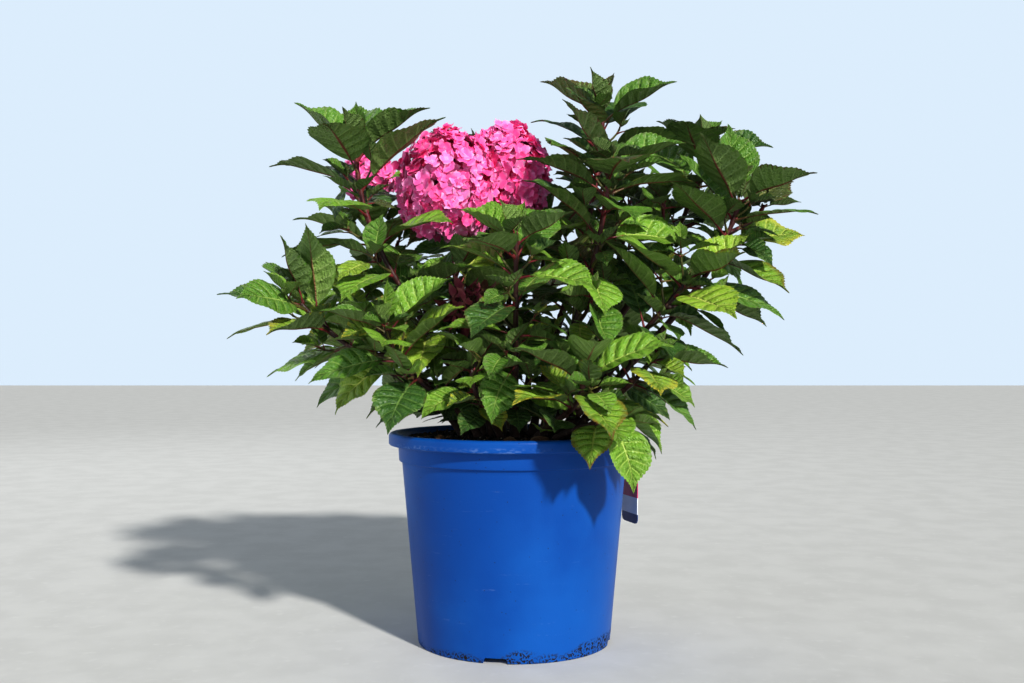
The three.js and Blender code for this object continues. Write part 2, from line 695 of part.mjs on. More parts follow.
const leafMaterial = new THREE.MeshStandardMaterial({ color: 0x4f8a2e, roughness: 0.55 });
const caneMaterial = new THREE.MeshStandardMaterial({ color: 0x5a2a24, roughness: 0.7 });
const petalMaterial = new THREE.MeshStandardMaterial({ color: 0xe8418a, roughness: 0.6 });
const potMaterial = new THREE.MeshStandardMaterial({ color: 0x1a57b8, roughness: 0.42 });
const soilMaterial = new THREE.MeshStandardMaterial({ color: 0x1d1712, roughness: 0.95 });
const labelMaterial = new THREE.MeshStandardMaterial({ color: 0xe9ecf0, roughness: 0.5 });

const plant = new THREE.Group();
plant.add(meshOf('pot', pot(), potMaterial));
plant.add(meshOf('soil', soil(), soilMaterial));
plant.add(meshOf('care_label', careLabel(), labelMaterial));

const canes = SHOOTS.map(caneOf);
const heads = SHOOTS.map((shoot, i) => (shoot.head ? headOf(shoot, canes[i], i) : null));
const space = new Space(canes, heads.filter(Boolean));
const twigs = SHOOTS.map((shoot, i) => twigsOf(shoot, i, canes[i], space));
SHOOTS.forEach((shoot, index) => {
  const cane = canes[index];
  const leaves = leavesOn(cane, { ...shoot, index, branch: 0, size: shoot.leaf, tight: 1 }, space);
  const lowest = Math.min(...leaves.map((leaf) => leaf.distance), cane.length - 20);
  const joint = Math.max(lowest - 10, 20);
  const bud = shoot.head ? 0 : CANE.bud;
  const pieces = [solidOf(cane.tube(joint, cane.length, { steps: 6, sides: 4, bud }))];
  twigs[index].forEach(({ twig, phase }, k) => {
    const sub = { index, branch: k + 1, pairs: TWIG.pairs, phase, size: shoot.leaf * TWIG.leaf, tight: 0.72 };
    leaves.push(...leavesOn(twig, sub, space));
    pieces.push(solidOf(twig.tube(0, twig.length, { steps: 3, sides: 4, bud: CANE.bud })));
  });
  const foot = cane.tube(0, joint - CLEAR, { steps: CANE.steps, sides: CANE.sides, onGround: true });
  plant.add(meshOf(`cane_${shoot.name}`, solidOf(foot), caneMaterial));
  const mass = wasm.Manifold.union([...pieces, ...leaves.map(leafSolid)]).asOriginal().simplify(0.25);
  plant.add(meshOf(`leaves_${shoot.name}`, mass, leafMaterial));
  if (!shoot.head) return;
  plant.add(meshOf(`bloom_${shoot.name}`, headSolid(heads[index], space.heads), petalMaterial));
});

export default plant;
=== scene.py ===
"""A mophead hydrangea in its blue nursery pot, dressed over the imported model.

Sizes are in millimetres until a mesh is made. +X is the plant's right as it is looked at from the
front, +Y points away from the viewer and +Z is up. The canes, side twigs and large leaves follow the
same rule as the solids that they stand for, and the finer sprigs, florets and crumbs grow on from them.
"""

import sys

import logging
import math
from dataclasses import dataclass, field
from enum import Enum
from typing import Optional, Sequence, Union

import bmesh
import bpy
import numpy as np
from mathutils import Euler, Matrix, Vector, noise


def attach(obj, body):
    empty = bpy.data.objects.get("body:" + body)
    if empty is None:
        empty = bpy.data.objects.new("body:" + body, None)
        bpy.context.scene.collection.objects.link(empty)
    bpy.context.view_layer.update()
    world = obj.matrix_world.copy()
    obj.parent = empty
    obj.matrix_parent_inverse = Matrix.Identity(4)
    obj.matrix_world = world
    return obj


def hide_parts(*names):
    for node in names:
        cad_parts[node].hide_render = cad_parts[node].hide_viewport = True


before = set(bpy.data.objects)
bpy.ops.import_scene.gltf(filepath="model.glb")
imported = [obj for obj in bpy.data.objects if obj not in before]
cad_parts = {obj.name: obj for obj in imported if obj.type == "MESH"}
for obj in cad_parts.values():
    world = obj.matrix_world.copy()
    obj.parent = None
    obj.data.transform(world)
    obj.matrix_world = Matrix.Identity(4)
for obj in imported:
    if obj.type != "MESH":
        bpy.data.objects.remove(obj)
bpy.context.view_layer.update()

LOG = logging.getLogger("hydrangea")

Array = np.ndarray
Material = bpy.types.Material
Object = bpy.types.Object
Socket = bpy.types.NodeSocket
Pair = tuple[float, float]
Triple = tuple[float, float, float]
Colour = Triple
Value = Union[float, int, Sequence[float], Socket]

MM = 0.001
UP = np.array([0.0, 0.0, 1.0])
GOLDEN_TURN = 2.399963
BODY = "root"
LOW_BRANCH = 300
TIP_BRANCH = 400


class Region(Enum):
    """The part of the crown that a shoot's leaves are joined with."""

    LEFT = "left"
    CENTRE = "centre"
    RIGHT = "right"
    BACK = "back"
    FRONT = "front"


class Tint(Enum):
    """The colourings that leaves are dealt, by their number among the foliage's materials."""

    FRESH = 0
    GREEN = 1
    DEEP = 2
    LIME = 3
    BRONZE = 4
    YELLOWED = 5
    BROWN_TIPPED = 6


@dataclass(frozen=True)
class Shoot:
    """One cane and what it carries.

    foot and tip are its ends and leans its angles from upright there, in degrees. phase is the
    heading of the youngest pair, leaf the longest blade and age the youngest stages that it is past.
    open and arch say how far leaves spread and bend down, as a share of the usual. head holds the
    radii of the flower head that it ends in, which stands rise above it.
    """

    name: str
    region: Region
    foot: Pair
    tip: Triple
    leans: Pair
    pairs: int
    phase: float
    leaf: float
    age: int = 0
    open: float = 1.0
    arch: float = 1.0
    twigs: int = 0
    hangs: bool = False
    head: Optional[Triple] = None
    rise: float = 0.0


LEFT, CENTRE, RIGHT, BACK, FRONT = Region

SHOOTS = (
    Shoot("left_tall", LEFT, (-34, -8), (-172, -42, 540), (20, 2), 10, 76, 98, open=0.82, arch=0.9, twigs=1),
    Shoot("left_low", LEFT, (-56, -15), (-228, -60, 374), (34, 40), 5, 181, 84, age=1, open=0.75, arch=0.6),
    Shoot("left_front", FRONT, (-38, -34), (-132, -112, 352), (34, 8), 6, 98, 80),
    Shoot("centre_front", FRONT, (1, -44), (2, -140, 440), (28, 4), 8, 62, 76),
    Shoot("centre_tall", CENTRE, (21, 6), (102, 30, 596), (10, 2), 9, 62, 92, open=0.9, twigs=1),
    Shoot("right_of_centre", CENTRE, (31, -22), (101, -70, 512), (14, 6), 9, 8, 96, age=1, open=0.95,
          twigs=1),
    Shoot("right_back", RIGHT, (44, 16), (226, 70, 559), (22, 12), 8, 60, 90, twigs=2),
    Shoot("right", RIGHT, (66, -6), (250, -20, 490), (34, 16), 5, 130, 94, age=1, open=0.9, arch=0.5,
          twigs=1),
    Shoot("right_low", RIGHT, (54, -24), (186, -66, 400), (34, 40), 5, 88, 90, age=1, arch=0.6, twigs=1),
    Shoot("right_front", FRONT, (56, -42), (146, -112, 322), (50, 36), 4, 70, 76, arch=0.75),
    Shoot("front", FRONT, (24, -58), (70, -142, 300), (52, 4), 5, 96, 82, age=1, open=0.85),
    Shoot("front_rim", FRONT, (44, -64), (100, -130, 262), (64, 60), 3, 30, 68, age=1, arch=1.3, hangs=True),
    Shoot("front_left", FRONT, (-14, -50), (-44, -108, 304), (40, 8), 4, 30, 56, age=1),
    Shoot("head_left", LEFT, (-13, -6), (-68, 6, 424), (8, 4), 7, 30, 92, twigs=1, head=(52, 50, 62),
          rise=84),
    Shoot("head_right", CENTRE, (0, 14), (-8, 50, 455), (6, 2), 7, 70, 92, twigs=1, head=(46, 50, 54),
          rise=74),
    Shoot("head_back", BACK, (-34, 28), (-176, 132, 484), (22, 6), 6, 20, 92, twigs=1, head=(30, 30, 26),
          rise=56),
    Shoot("faded", CENTRE, (-26, -24), (-42, -50, 322), (10, 4), 3, 40, 60, age=1, head=(25, 25, 20),
          rise=50),
    Shoot("back_left", LEFT, (-58, 16), (-190, 110, 392), (34, 30), 7, 90, 92, twigs=1),
    Shoot("back_left_low", BACK, (-52, 44), (-180, 160, 330), (46, 40), 5, 80, 88),
    Shoot("back_tall", BACK, (-14, 38), (-40, 120, 548), (12, 4), 8, 60, 94, twigs=1),
    Shoot("back", BACK, (10, 56), (40, 190, 490), (26, 10), 7, 80, 94, twigs=1),
    Shoot("back_low", BACK, (-18, 68), (-56, 206, 350), (44, 34), 5, 70, 90),
    Shoot("back_right", RIGHT, (34, 40), (146, 158, 512), (24, 8), 7, 50, 92, twigs=1),
    Shoot("back_right_low", BACK, (56, 42), (140, 150, 345), (44, 36), 5, 70, 90),
)


def chance(*keys: float) -> float:
    """Gives a repeatable number from 0 to 1.

    Args:
        keys: the whole numbers that it belongs to.

    Returns:
        The number.
    """
    total = 4.1
    for place, key in enumerate(keys):
        total += key * (12.9898 + 65.233 * place)
    value = math.sin(total) * 43758.5453
    return value - math.floor(value)


def jitter(size: float, *keys: float) -> float:
    """Returns a repeatable number from -size to size for a set of whole numbers."""
    return size * (2 * chance(*keys) - 1)


def around(sides: int) -> Array:
    """Returns the headings of even steps round a turn, in radians."""
    return 2 * math.pi * np.arange(sides) / sides


def level(turn: float) -> Array:
    """Returns the level direction at a heading in radians."""
    return np.array([math.cos(turn), math.sin(turn), 0.0])


def unit(vector: Array) -> Array:
    """Returns vectors at length one."""
    return vector / np.linalg.norm(vector, axis=-1, keepdims=True)


def smooth(value: Array, low: float, high: float) -> Array:
    """Returns an even step from 0 at low to 1 at high."""
    share = np.clip((value - low) / (high - low), 0.0, 1.0)
    return share * share * (3 - 2 * share)


def linked(name: str, data: bpy.types.ID) -> Object:
    """Returns a new object of the scene that holds a mesh, a light or a camera."""
    made = bpy.data.objects.new(name, data)
    bpy.context.scene.collection.objects.link(made)
    return made


def from_bmesh(name: str, shape: bmesh.types.BMesh) -> Object:
    """Returns an object made of a bmesh, which is freed."""
    mesh = bpy.data.meshes.new(name)
    shape.to_mesh(mesh)
    shape.free()
    return linked(name, mesh)


def made_real(name: str, base: Object) -> Object:
    """Turns what an object's modifiers make of it into a plain mesh.

    Args:
        name: the new object's name.
        base: the object, which is removed with its modifiers.

    Returns:
        The new object.
    """
    bpy.context.view_layer.update()
    ready = base.evaluated_get(bpy.context.evaluated_depsgraph_get())
    mesh = bpy.data.meshes.new_from_object(ready)
    mesh.name = name
    base.modifiers.clear()
    bpy.data.objects.remove(base)
    mesh.polygons.foreach_set("use_smooth", np.ones(len(mesh.polygons), bool))
    return linked(name, mesh)


def hand_over(piece: Object, nodes: Sequence[str]) -> None:
    """Lets a finished piece ride on the plant's body in place of its solids.

    Args:
        piece: the finished object.
        nodes: the solids that it stands for.
    """
    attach(piece, BODY)
    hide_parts(*nodes)
    piece.data.calc_loop_triangles()
    LOG.info("%s: %d triangles", piece.name, len(piece.data.loop_triangles))


class MeshPile:
    """Points and faces gathered for one mesh."""

    def __init__(self) -> None:
        """Starts an empty pile."""
        self.points: list[Array] = []
        self.corners: list[Array] = []
        self.sides: list[Array] = []
        self.slots: list[Array] = []
        self.charts: list[Array] = []
        self.rims: list[Array] = []
        self.count = 0

    def add(self, points: Array, groups: Sequence[tuple[Array, int]], chart: Optional[Array] = None,
            rim: Optional[Array] = None) -> None:
        """Adds one block of points and its faces.

        Args:
            points: the block's points.
            groups: pairs of faces with one number of corners, and the material they take.
            chart: two pattern coordinates for each point.
            rim: marks the points whose shared edges stay sharp.
        """
        if chart is None:
            chart = np.zeros((len(points), 2))
        for faces, slot in groups:
            if len(faces):
                self.corners.append((faces + self.count).ravel())
                self.charts.append(chart[faces.ravel()])
                self.sides.append(np.full(len(faces), faces.shape[1]))
                self.slots.append(np.full(len(faces), slot))
        self.points.append(points)
        self.rims.append(np.zeros(len(points), bool) if rim is None else rim)
        self.count += len(points)

    def build(self, name: str, materials: Sequence[Material] = ()) -> Object:
        """Makes the mesh and its object.

        Args:
            name: the object's name.
            materials: its materials, in the order of the faces' numbers.

        Returns:
            The object, at the origin, in metres.
        """
        mesh = bpy.data.meshes.new(name)
        points, sides = np.concatenate(self.points) * MM, np.concatenate(self.sides)
        corners, rim = np.concatenate(self.corners), np.concatenate(self.rims)
        mesh.vertices.add(len(points))
        mesh.vertices.foreach_set("co", points.astype(np.float32).ravel())
        mesh.loops.add(len(corners))
        mesh.loops.foreach_set("vertex_index", corners.astype(np.int32))
        mesh.polygons.add(len(sides))
        mesh.polygons.foreach_set("loop_start", (np.cumsum(sides) - sides).astype(np.int32))
        for material in materials:
            mesh.materials.append(material)
        mesh.polygons.foreach_set("material_index", np.concatenate(self.slots).astype(np.int32))
        mesh.polygons.foreach_set("use_smooth", np.ones(len(sides), bool))
        chart = mesh.uv_layers.new(name="chart")
        chart.uv.foreach_set("vector", np.concatenate(self.charts).astype(np.float32).ravel())
        mesh.update(calc_edges=True)
        if rim.any():
            ends = np.zeros(len(mesh.edges) * 2, np.int32)
            mesh.edges.foreach_get("vertices", ends)
            sharp = mesh.attributes.new("sharp_edge", "BOOLEAN", "EDGE")
            sharp.data.foreach_set("value", rim[ends].reshape(-1, 2).all(axis=1))
        return linked(name, mesh)


def ring_faces(rings: int, sides: int) -> tuple[Array, Array]:
    """Numbers the faces of rings of points with a pole at each end, whose two points come last.

    Args:
        rings: how many rings there are.
        sides: how many points each has.

    Returns:
        The quads between rings, and the triangles to the first pole and then the last.
    """
    k = np.arange(sides)
    after = (k + 1) % sides
    at = (np.arange(rings - 1) * sides)[:, None]
    quads = np.stack([at + k, at + after, at + sides + after, at + sides + k], -1).reshape(-1, 4)
    count, last = rings * sides, (rings - 1) * sides
    ends = [np.stack([np.full(sides, count), after, k], -1),
            np.stack([last + k, last + after, np.full(sides, count + 1)], -1)]
    return quads, np.concatenate(ends)


def add_tube(pile: MeshPile, points: Array, radii: Array, sides: int, slot: int) -> None:
    """Adds a closed tube to a pile.

    Args:
        pile: the mesh that it joins.
        points: its line.
        radii: its radius at each point, or one for each side there.
        sides: how many sides it has.
        slot: the number of its material.
    """
    ways = unit(np.gradient(points, axis=0))
    across = unit(np.cross(ways[0], np.array([0.3, 0.9, 0.1])))
    turns = around(sides)
    reach = radii if radii.ndim == 2 else np.repeat(radii[:, None], sides, axis=1)
    rings = []
    for point, way, size in zip(points, ways, reach):
        across = unit(across - way * float(across @ way))
        beside = np.cross(way, across)
        ring = np.cos(turns)[:, None] * across + np.sin(turns)[:, None] * beside
        rings.append(point + ring * size[:, None])
    quads, ends = ring_faces(len(points), sides)
    pile.add(np.concatenate([*rings, points[:1], points[-1:]]), [(quads, slot), (ends, slot)])


class NodeTree:
    """A node tree with short calls for adding nodes."""

    def __init__(self, tree: bpy.types.NodeTree) -> None:
        """Takes the tree that nodes are added to."""
        self.tree = tree

    def feed(self, socket: Socket, value: Value) -> None:
        """Links an output to a socket, or sets the socket to a constant."""
        if isinstance(value, Socket):
            self.tree.links.new(value, socket)
        else:
            socket.default_value = (*value, 1.0) if socket.type == "RGBA" else value

    def node(self, kind: str, inputs: Optional[dict[Union[str, int], Value]] = None,
             **settings: object) -> bpy.types.Node:
        """Adds a node.

        Args:
            kind: its type.
            inputs: its input values or links, by name or number.
            settings: its own properties.

        Returns:
            The node.
        """
        made = self.tree.nodes.new(kind)
        for key, value in settings.items():
            setattr(made, key, value)
        for key, value in (inputs or {}).items():
            self.feed(made.inputs[key], value)
        return made


class Paint(NodeTree):
    """The node tree of one finish, with short calls for the nodes that it uses."""

    def __init__(self, name: str, roughness: float, specular: float) -> None:
        """Starts a material.

        Args:
            name: the material's name.
            roughness: the roughness where nothing varies it.
            specular: the shader's specular level.
        """
        self.material = bpy.data.materials.new(name)
        self.material.use_nodes = True
        super().__init__(self.material.node_tree)
        self.surface = self.tree.nodes["Principled BSDF"]
        self.surface.inputs["Roughness"].default_value = roughness
        self.surface.inputs["Specular IOR Level"].default_value = specular
        coordinates = self.node("ShaderNodeTexCoord")
        self.place = coordinates.outputs["Object"]
        self.chart = coordinates.outputs["UV"]

    def math(self, operation: str, first: Value, second: Value = 0.0) -> Socket:
        """Returns the output of a Math node."""
        return self.node("ShaderNodeMath", {0: first, 1: second}, operation=operation).outputs[0]

    def times(self, first: Value, second: Value) -> Socket:
        """Returns the product of two values."""
        return self.math("MULTIPLY", first, second)

    def plus(self, first: Value, second: Value) -> Socket:
        """Returns the sum of two values."""
        return self.math("ADD", first, second)

    def step(self, value: Value, low: float, high: float) -> Socket:
        """Returns a smooth step of a value from 0 at low to 1 at high."""
        inputs = {"Value": value, "From Min": low, "From Max": high}
        return self.node("ShaderNodeMapRange", inputs, interpolation_type="SMOOTHSTEP").outputs["Result"]

    def fade(self, value: Value, low: float, high: float) -> Socket:
        """Returns a smooth step of a value from 1 at low to 0 at high."""
        return self.math("SUBTRACT", 1.0, self.step(value, low, high))

    def blend(self, share: Value, first: Value, second: Value) -> Socket:
        """Returns a colour between two."""
        return self.node("ShaderNodeMix", {0: share, 6: first, 7: second}, data_type="RGBA").outputs[2]

    def clouds(self, scale: float, detail: float = 3.0, vector: Optional[Socket] = None) -> Socket:
        """Returns the value of a noise texture."""
        inputs = {"Scale": scale, "Detail": detail, "Vector": vector or self.place}
        return self.node("ShaderNodeTexNoise", inputs).outputs["Fac"]

    def cells(self, scale: float, feature: str = "F1", vector: Optional[Socket] = None) -> Socket:
        """Returns the distance of a cell texture."""
        inputs = {"Scale": scale, "Vector": vector or self.place}
        return self.node("ShaderNodeTexVoronoi", inputs, feature=feature).outputs["Distance"]

    def stretched(self, vector: Socket, scale: Sequence[float]) -> Socket:
        """Returns coordinates scaled along each axis."""
        return self.node("ShaderNodeMapping", {"Vector": vector, "Scale": scale}).outputs["Vector"]

    def axis(self, vector: Socket, name: str) -> Socket:
        """Returns one coordinate of a vector, by its letter."""
        return self.node("ShaderNodeSeparateXYZ", {"Vector": vector}).outputs[name]

    def colour(self, value: Value) -> None:
        """Feeds the base colour."""
        self.feed(self.surface.inputs["Base Color"], value)

    def rough(self, value: Value) -> None:
        """Feeds the roughness."""
        self.feed(self.surface.inputs["Roughness"], value)

    def relief(self, height: Value, distance: float, strength: float) -> None:
        """Adds a bump to those that the surface already has.

        Args:
            height: its height in metres.
            distance: the height that counts as whole.
            strength: its share of the full effect.
        """
        bump = self.node("ShaderNodeBump", {"Strength": strength, "Distance": distance, "Height": height})
        normal = self.surface.inputs["Normal"]
        if normal.is_linked:
            self.tree.links.new(normal.links[0].from_socket, bump.inputs["Normal"])
        self.tree.links.new(bump.outputs["Normal"], normal)


@dataclass(frozen=True)
class LeafFinish:
    """The skin of a leaf: a green body, painted shade along its side veins, its veins and midrib, and a
    margin that may have turned.

    The pattern coordinates run from base to tip and from margin to margin, bent so that a side vein
    is a line across them. turned is how much of the half width the margin's colour takes. sunk is how
    deep the veins lie, in metres, and is negative where they stand proud.
    """

    name: str
    body: Colour
    vein: Colour
    margin: Colour
    turned: float = 0.1
    midrib: Optional[Colour] = None
    rib: float = 0.045
    gloss: float = 0.4
    sunk: float = 0.0017
    lines: float = 0.6
    shade: float = 0.74
    veins: float = 8.0
    net: float = 22.0

    def build(self) -> Material:
        """Makes the material.

        Returns:
            The material, which reads the leaf's own chart.
        """
        paint = Paint(self.name, self.gloss, 0.42)
        length = paint.axis(paint.chart, "X")
        off_rib = paint.math("SUBTRACT", paint.axis(paint.chart, "Y"), 0.5)
        across = paint.times(paint.math("ABSOLUTE", off_rib), 2.0)
        wave = paint.math("FRACT", paint.times(length, self.veins))
        off = paint.math("SUBTRACT", 0.5, paint.math("ABSOLUTE", paint.math("SUBTRACT", wave, 0.5)))
        reach = paint.fade(across, 0.66, 1.0)
        side = paint.times(paint.fade(off, 0.015, 0.1), reach)
        trough = paint.times(paint.fade(off, 0.0, 0.42), reach)
        rib = paint.fade(across, self.rib * 0.5, self.rib * 1.8)
        cells = paint.cells(self.net, "DISTANCE_TO_EDGE", paint.stretched(paint.chart, (1.0, 0.75, 1.0)))
        patches = paint.clouds(26.0, 4.0)
        dark = tuple(part * self.shade for part in self.body)
        body = paint.blend(paint.step(patches, 0.3, 0.7), dark, self.body)
        # Painted shade: the body darkens towards its darker tone along the side veins, as if their quilted
        # relief were shaded.
        body = paint.blend(paint.times(trough, 0.36), body, dark)
        body = paint.blend(paint.times(paint.fade(cells, 0.0, 0.13), self.lines * 0.5), body, self.vein)
        body = paint.blend(paint.times(side, self.lines), body, self.vein)
        body = paint.blend(paint.times(rib, 0.92), body, self.midrib or self.vein)
        ragged = paint.plus(across, paint.times(paint.clouds(60.0), 0.35))
        tip = paint.times(paint.step(length, 0.72, 1.0), self.turned * 1.2)
        edge = paint.step(paint.plus(ragged, tip), 1.18 - self.turned, 1.28)
        paint.colour(paint.blend(paint.times(edge, 0.85), body, self.margin))
        paint.rough(paint.plus(self.gloss - 0.06, paint.times(patches, 0.16)))
        paint.relief(paint.math("SUBTRACT", 1.0, paint.math("MAXIMUM", trough, rib)), self.sunk, 0.9)
        paint.relief(cells, 0.0026, 0.8)
        paint.relief(paint.clouds(420.0, 2.0), 0.0004, 0.3)
        return paint.material


@dataclass(frozen=True)
class BarkFinish:
    """The skin of a cane or stem: a streaked base colour with paler pores.

    It goes from the low colour to the high one between two heights, in metres.
    """

    name: str
    low: Colour
    high: Colour
    pore: Colour
    blend_from: float
    blend_to: float
    gloss: float
    streak: float = 90.0
    pores: float = 260.0

    def build(self) -> Material:
        """Makes the material.

        Returns:
            The material.
        """
        paint = Paint(self.name, self.gloss, 0.4)
        streaks = paint.clouds(self.streak, 4.0, paint.stretched(paint.place, (1.0, 1.0, 0.22)))
        height = paint.plus(paint.axis(paint.place, "Z"), paint.times(streaks, 0.12))
        body = paint.blend(paint.step(height, self.blend_from, self.blend_to), self.low, self.high)
        dark = paint.blend(0.55, body, (0.012, 0.006, 0.004))
        body = paint.blend(paint.step(streaks, 0.42, 0.62), dark, body)
        pores = paint.cells(self.pores, "F1", paint.stretched(paint.place, (1.0, 1.0, 0.5)))
        paint.colour(paint.blend(paint.times(paint.fade(pores, 0.16, 0.3), 0.35), body, self.pore))
        paint.rough(paint.plus(self.gloss - 0.1, paint.times(streaks, 0.25)))
        paint.relief(streaks, 0.0012, 0.6)
        paint.relief(pores, 0.0006, 0.4)
        return paint.material


@dataclass(frozen=True)
class PetalFinish:
    """The skin of a petal: paler along its veins and deeper between them, and paler at its claw and rim,
    partly its own colour and partly painted highlight.
    """

    name: str
    body: Colour
    deep: Colour
    claw: Colour
    gloss: float = 0.5

    def build(self) -> Material:
        """Makes the material.

        Returns:
            The material, which reads the petal's own chart from claw to tip.
        """
        paint = Paint(self.name, self.gloss, 0.35)
        length = paint.axis(paint.chart, "X")
        fan = paint.clouds(9.0, 3.0, paint.stretched(paint.chart, (1.0, 5.0, 1.0)))
        body = paint.blend(paint.step(fan, 0.4, 0.62), self.deep, self.body)
        patches = paint.step(paint.clouds(70.0, 2.0), 0.45, 0.7)
        body = paint.blend(paint.times(patches, 0.4), body, self.deep)
        # Paler claw and rim: partly the petal's own colour, partly painted highlight.
        pale = paint.times(paint.fade(length, 0.06, 0.4), 0.6)
        rim = paint.times(paint.step(length, 0.66, 1.0), 0.55)
        paint.colour(paint.blend(rim, paint.blend(pale, body, self.claw), self.claw))
        paint.relief(fan, 0.0008, 0.4)
        return paint.material


@dataclass(frozen=True)
class PlasticFinish:
    """Moulded blue plastic that has been handled: scuffs, dust, and soil splashed up from the ground."""

    name: str = "blue_plastic"
    body: Colour = (0.002, 0.062, 0.31)
    faded: Colour = (0.005, 0.097, 0.4)
    scuff: Colour = (0.28, 0.42, 0.68)
    soil: Colour = (0.014, 0.01, 0.008)
    lip_foot: float = 0.2225
    splash_top: float = 0.032

    def build(self) -> Material:
        """Makes the material.

        Returns:
            The material, whose marks are set by height.
        """
        paint = Paint(self.name, 0.4, 0.16)
        height = paint.axis(paint.place, "Z")
        haze = paint.clouds(7.0, 4.0)
        body = paint.blend(paint.step(haze, 0.36, 0.7), self.body, self.faded)
        fine = paint.clouds(190.0, 6.0, paint.stretched(paint.place, (1.0, 1.0, 2.6)))
        scratches = paint.clouds(46.0, 8.0, paint.stretched(paint.place, (0.35, 0.35, 5.0)))
        near = paint.math("ABSOLUTE", paint.math("SUBTRACT", height, self.lip_foot))
        handled = paint.times(paint.fade(near, 0.0006, 0.0045), paint.step(haze, 0.4, 0.56))
        worn = paint.times(handled, paint.step(fine, 0.46, 0.66))
        marks = paint.times(paint.step(scratches, 0.64, 0.74), 0.3)
        worn = paint.math("MAXIMUM", worn, paint.times(marks, paint.step(fine, 0.5, 0.6)))
        body = paint.blend(paint.times(worn, 0.32), body, self.scuff)
        body = paint.blend(paint.times(paint.fade(paint.cells(95.0), 0.045, 0.085), 0.55), body, self.soil)
        low = paint.times(paint.fade(height, 0.001, self.splash_top), 0.7)
        low = paint.plus(low, paint.times(paint.clouds(15.0), 1.2))
        thrown = paint.times(paint.step(low, 1.08, 1.26), paint.step(paint.clouds(430.0), 0.49, 0.56))
        paint.colour(paint.blend(thrown, body, self.soil))
        dull = paint.times(paint.math("MAXIMUM", worn, thrown), 0.35)
        paint.rough(paint.plus(paint.plus(0.35, paint.times(haze, 0.12)), dull))
        paint.relief(paint.clouds(520.0), 0.0003, 0.35)
        paint.relief(haze, 0.004, 0.12)
        paint.relief(thrown, 0.0009, 0.5)
        return paint.material


@dataclass(frozen=True)
class GrainFinish:
    """A loose or matt stuff with three colours mixed by two scales of grain."""

    name: str
    dark: Colour
    mid: Colour
    pale: Colour
    scale: float
    roughness: float = 0.9
    depth: float = 0.002

    def build(self) -> Material:
        """Makes the material.

        Returns:
            The material.
        """
        paint = Paint(self.name, self.roughness, 0.3)
        coarse = paint.clouds(self.scale, 5.0)
        fine = paint.clouds(self.scale * 4.3, 4.0)
        body = paint.blend(paint.step(coarse, 0.35, 0.65), self.dark, self.mid)
        paint.colour(paint.blend(paint.times(paint.step(fine, 0.55, 0.8), 0.7), body, self.pale))
        paint.relief(coarse, self.depth, 0.7)
        paint.relief(fine, self.depth * 0.3, 0.5)
        return paint.material


@dataclass(frozen=True)
class Station:
    """A place on a limb: its point, its direction and the limb's radius there."""

    point: Array
    way: Array
    radius: float


class Limb:
    """A tapering limb along a cubic, measured by the distance from its foot."""

    STATIONS = 24
    HANDLE = 0.38
    NUDGE = 0.0001

    def __init__(self, foot: Station, tip: Station) -> None:
        """Lays the limb out.

        Args:
            foot: its start.
            tip: its end.
        """
        reach = float(np.linalg.norm(tip.point - foot.point)) * self.HANDLE
        self.poles = (foot.point, foot.point + foot.way * reach, tip.point - tip.way * reach, tip.point)
        self.foot, self.tip = foot, tip
        self.points = self.on_curve(np.arange(self.STATIONS + 1) / self.STATIONS)
        steps = np.linalg.norm(np.diff(self.points, axis=0), axis=1)
        self.lengths = np.concatenate([[0.0], np.cumsum(steps)])
        self.length = float(self.lengths[-1])

    def on_curve(self, share: Array) -> Array:
        """Returns points of the cubic at shares from 0 to 1."""
        t, k = share[:, None], 1 - share[:, None]
        a, b, c, d = self.poles
        return k * k * k * a + 3 * k * k * t * b + 3 * k * t * t * c + t * t * t * d

    def along(self, distances: Array) -> tuple[Array, Array, Array]:
        """Gives places on the limb.

        Args:
            distances: how far each is from the foot.

        Returns:
            Their points, directions and radii.
        """
        far = np.clip(distances, 0.0, self.length)
        i = np.clip(np.searchsorted(self.lengths[1:], far, side="left") + 1, 1, self.STATIONS)
        share = (far - self.lengths[i - 1]) / (self.lengths[i] - self.lengths[i - 1])
        points = self.points[i - 1] + (self.points[i] - self.points[i - 1]) * share[:, None]
        t = (i - 1 + share) / self.STATIONS
        after = self.on_curve(np.minimum(t + self.NUDGE, 1.0))
        ways = unit(after - self.on_curve(np.maximum(t - self.NUDGE, 0.0)))
        return points, ways, self.foot.radius + (self.tip.radius - self.foot.radius) * (far / self.length)

    def at(self, distance: float) -> Station:
        """Returns the place at one distance from the foot."""
        points, ways, radii = self.along(np.array([float(distance)]))
        return Station(points[0], ways[0], float(radii[0]))

    def marks(self, step: float) -> tuple[Array, Array]:
        """Returns points every few millimetres, and the limb's radii there."""
        count = math.ceil(self.length / step)
        points, _, radii = self.along(self.length * np.arange(count + 1) / count)
        return points, radii


def out_of(way: Array, phase: float) -> Array:
    """Gives the direction out of a limb at a node.

    Args:
        way: the limb's direction.
        phase: how far it is turned round the limb, in degrees.

    Returns:
        The direction, square to the limb.
    """
    side = unit(np.array([1.0, 0.0, 0.0]) - way * way[0])
    back = np.cross(way, side)
    return side * math.cos(math.radians(phase)) + back * math.sin(math.radians(phase))


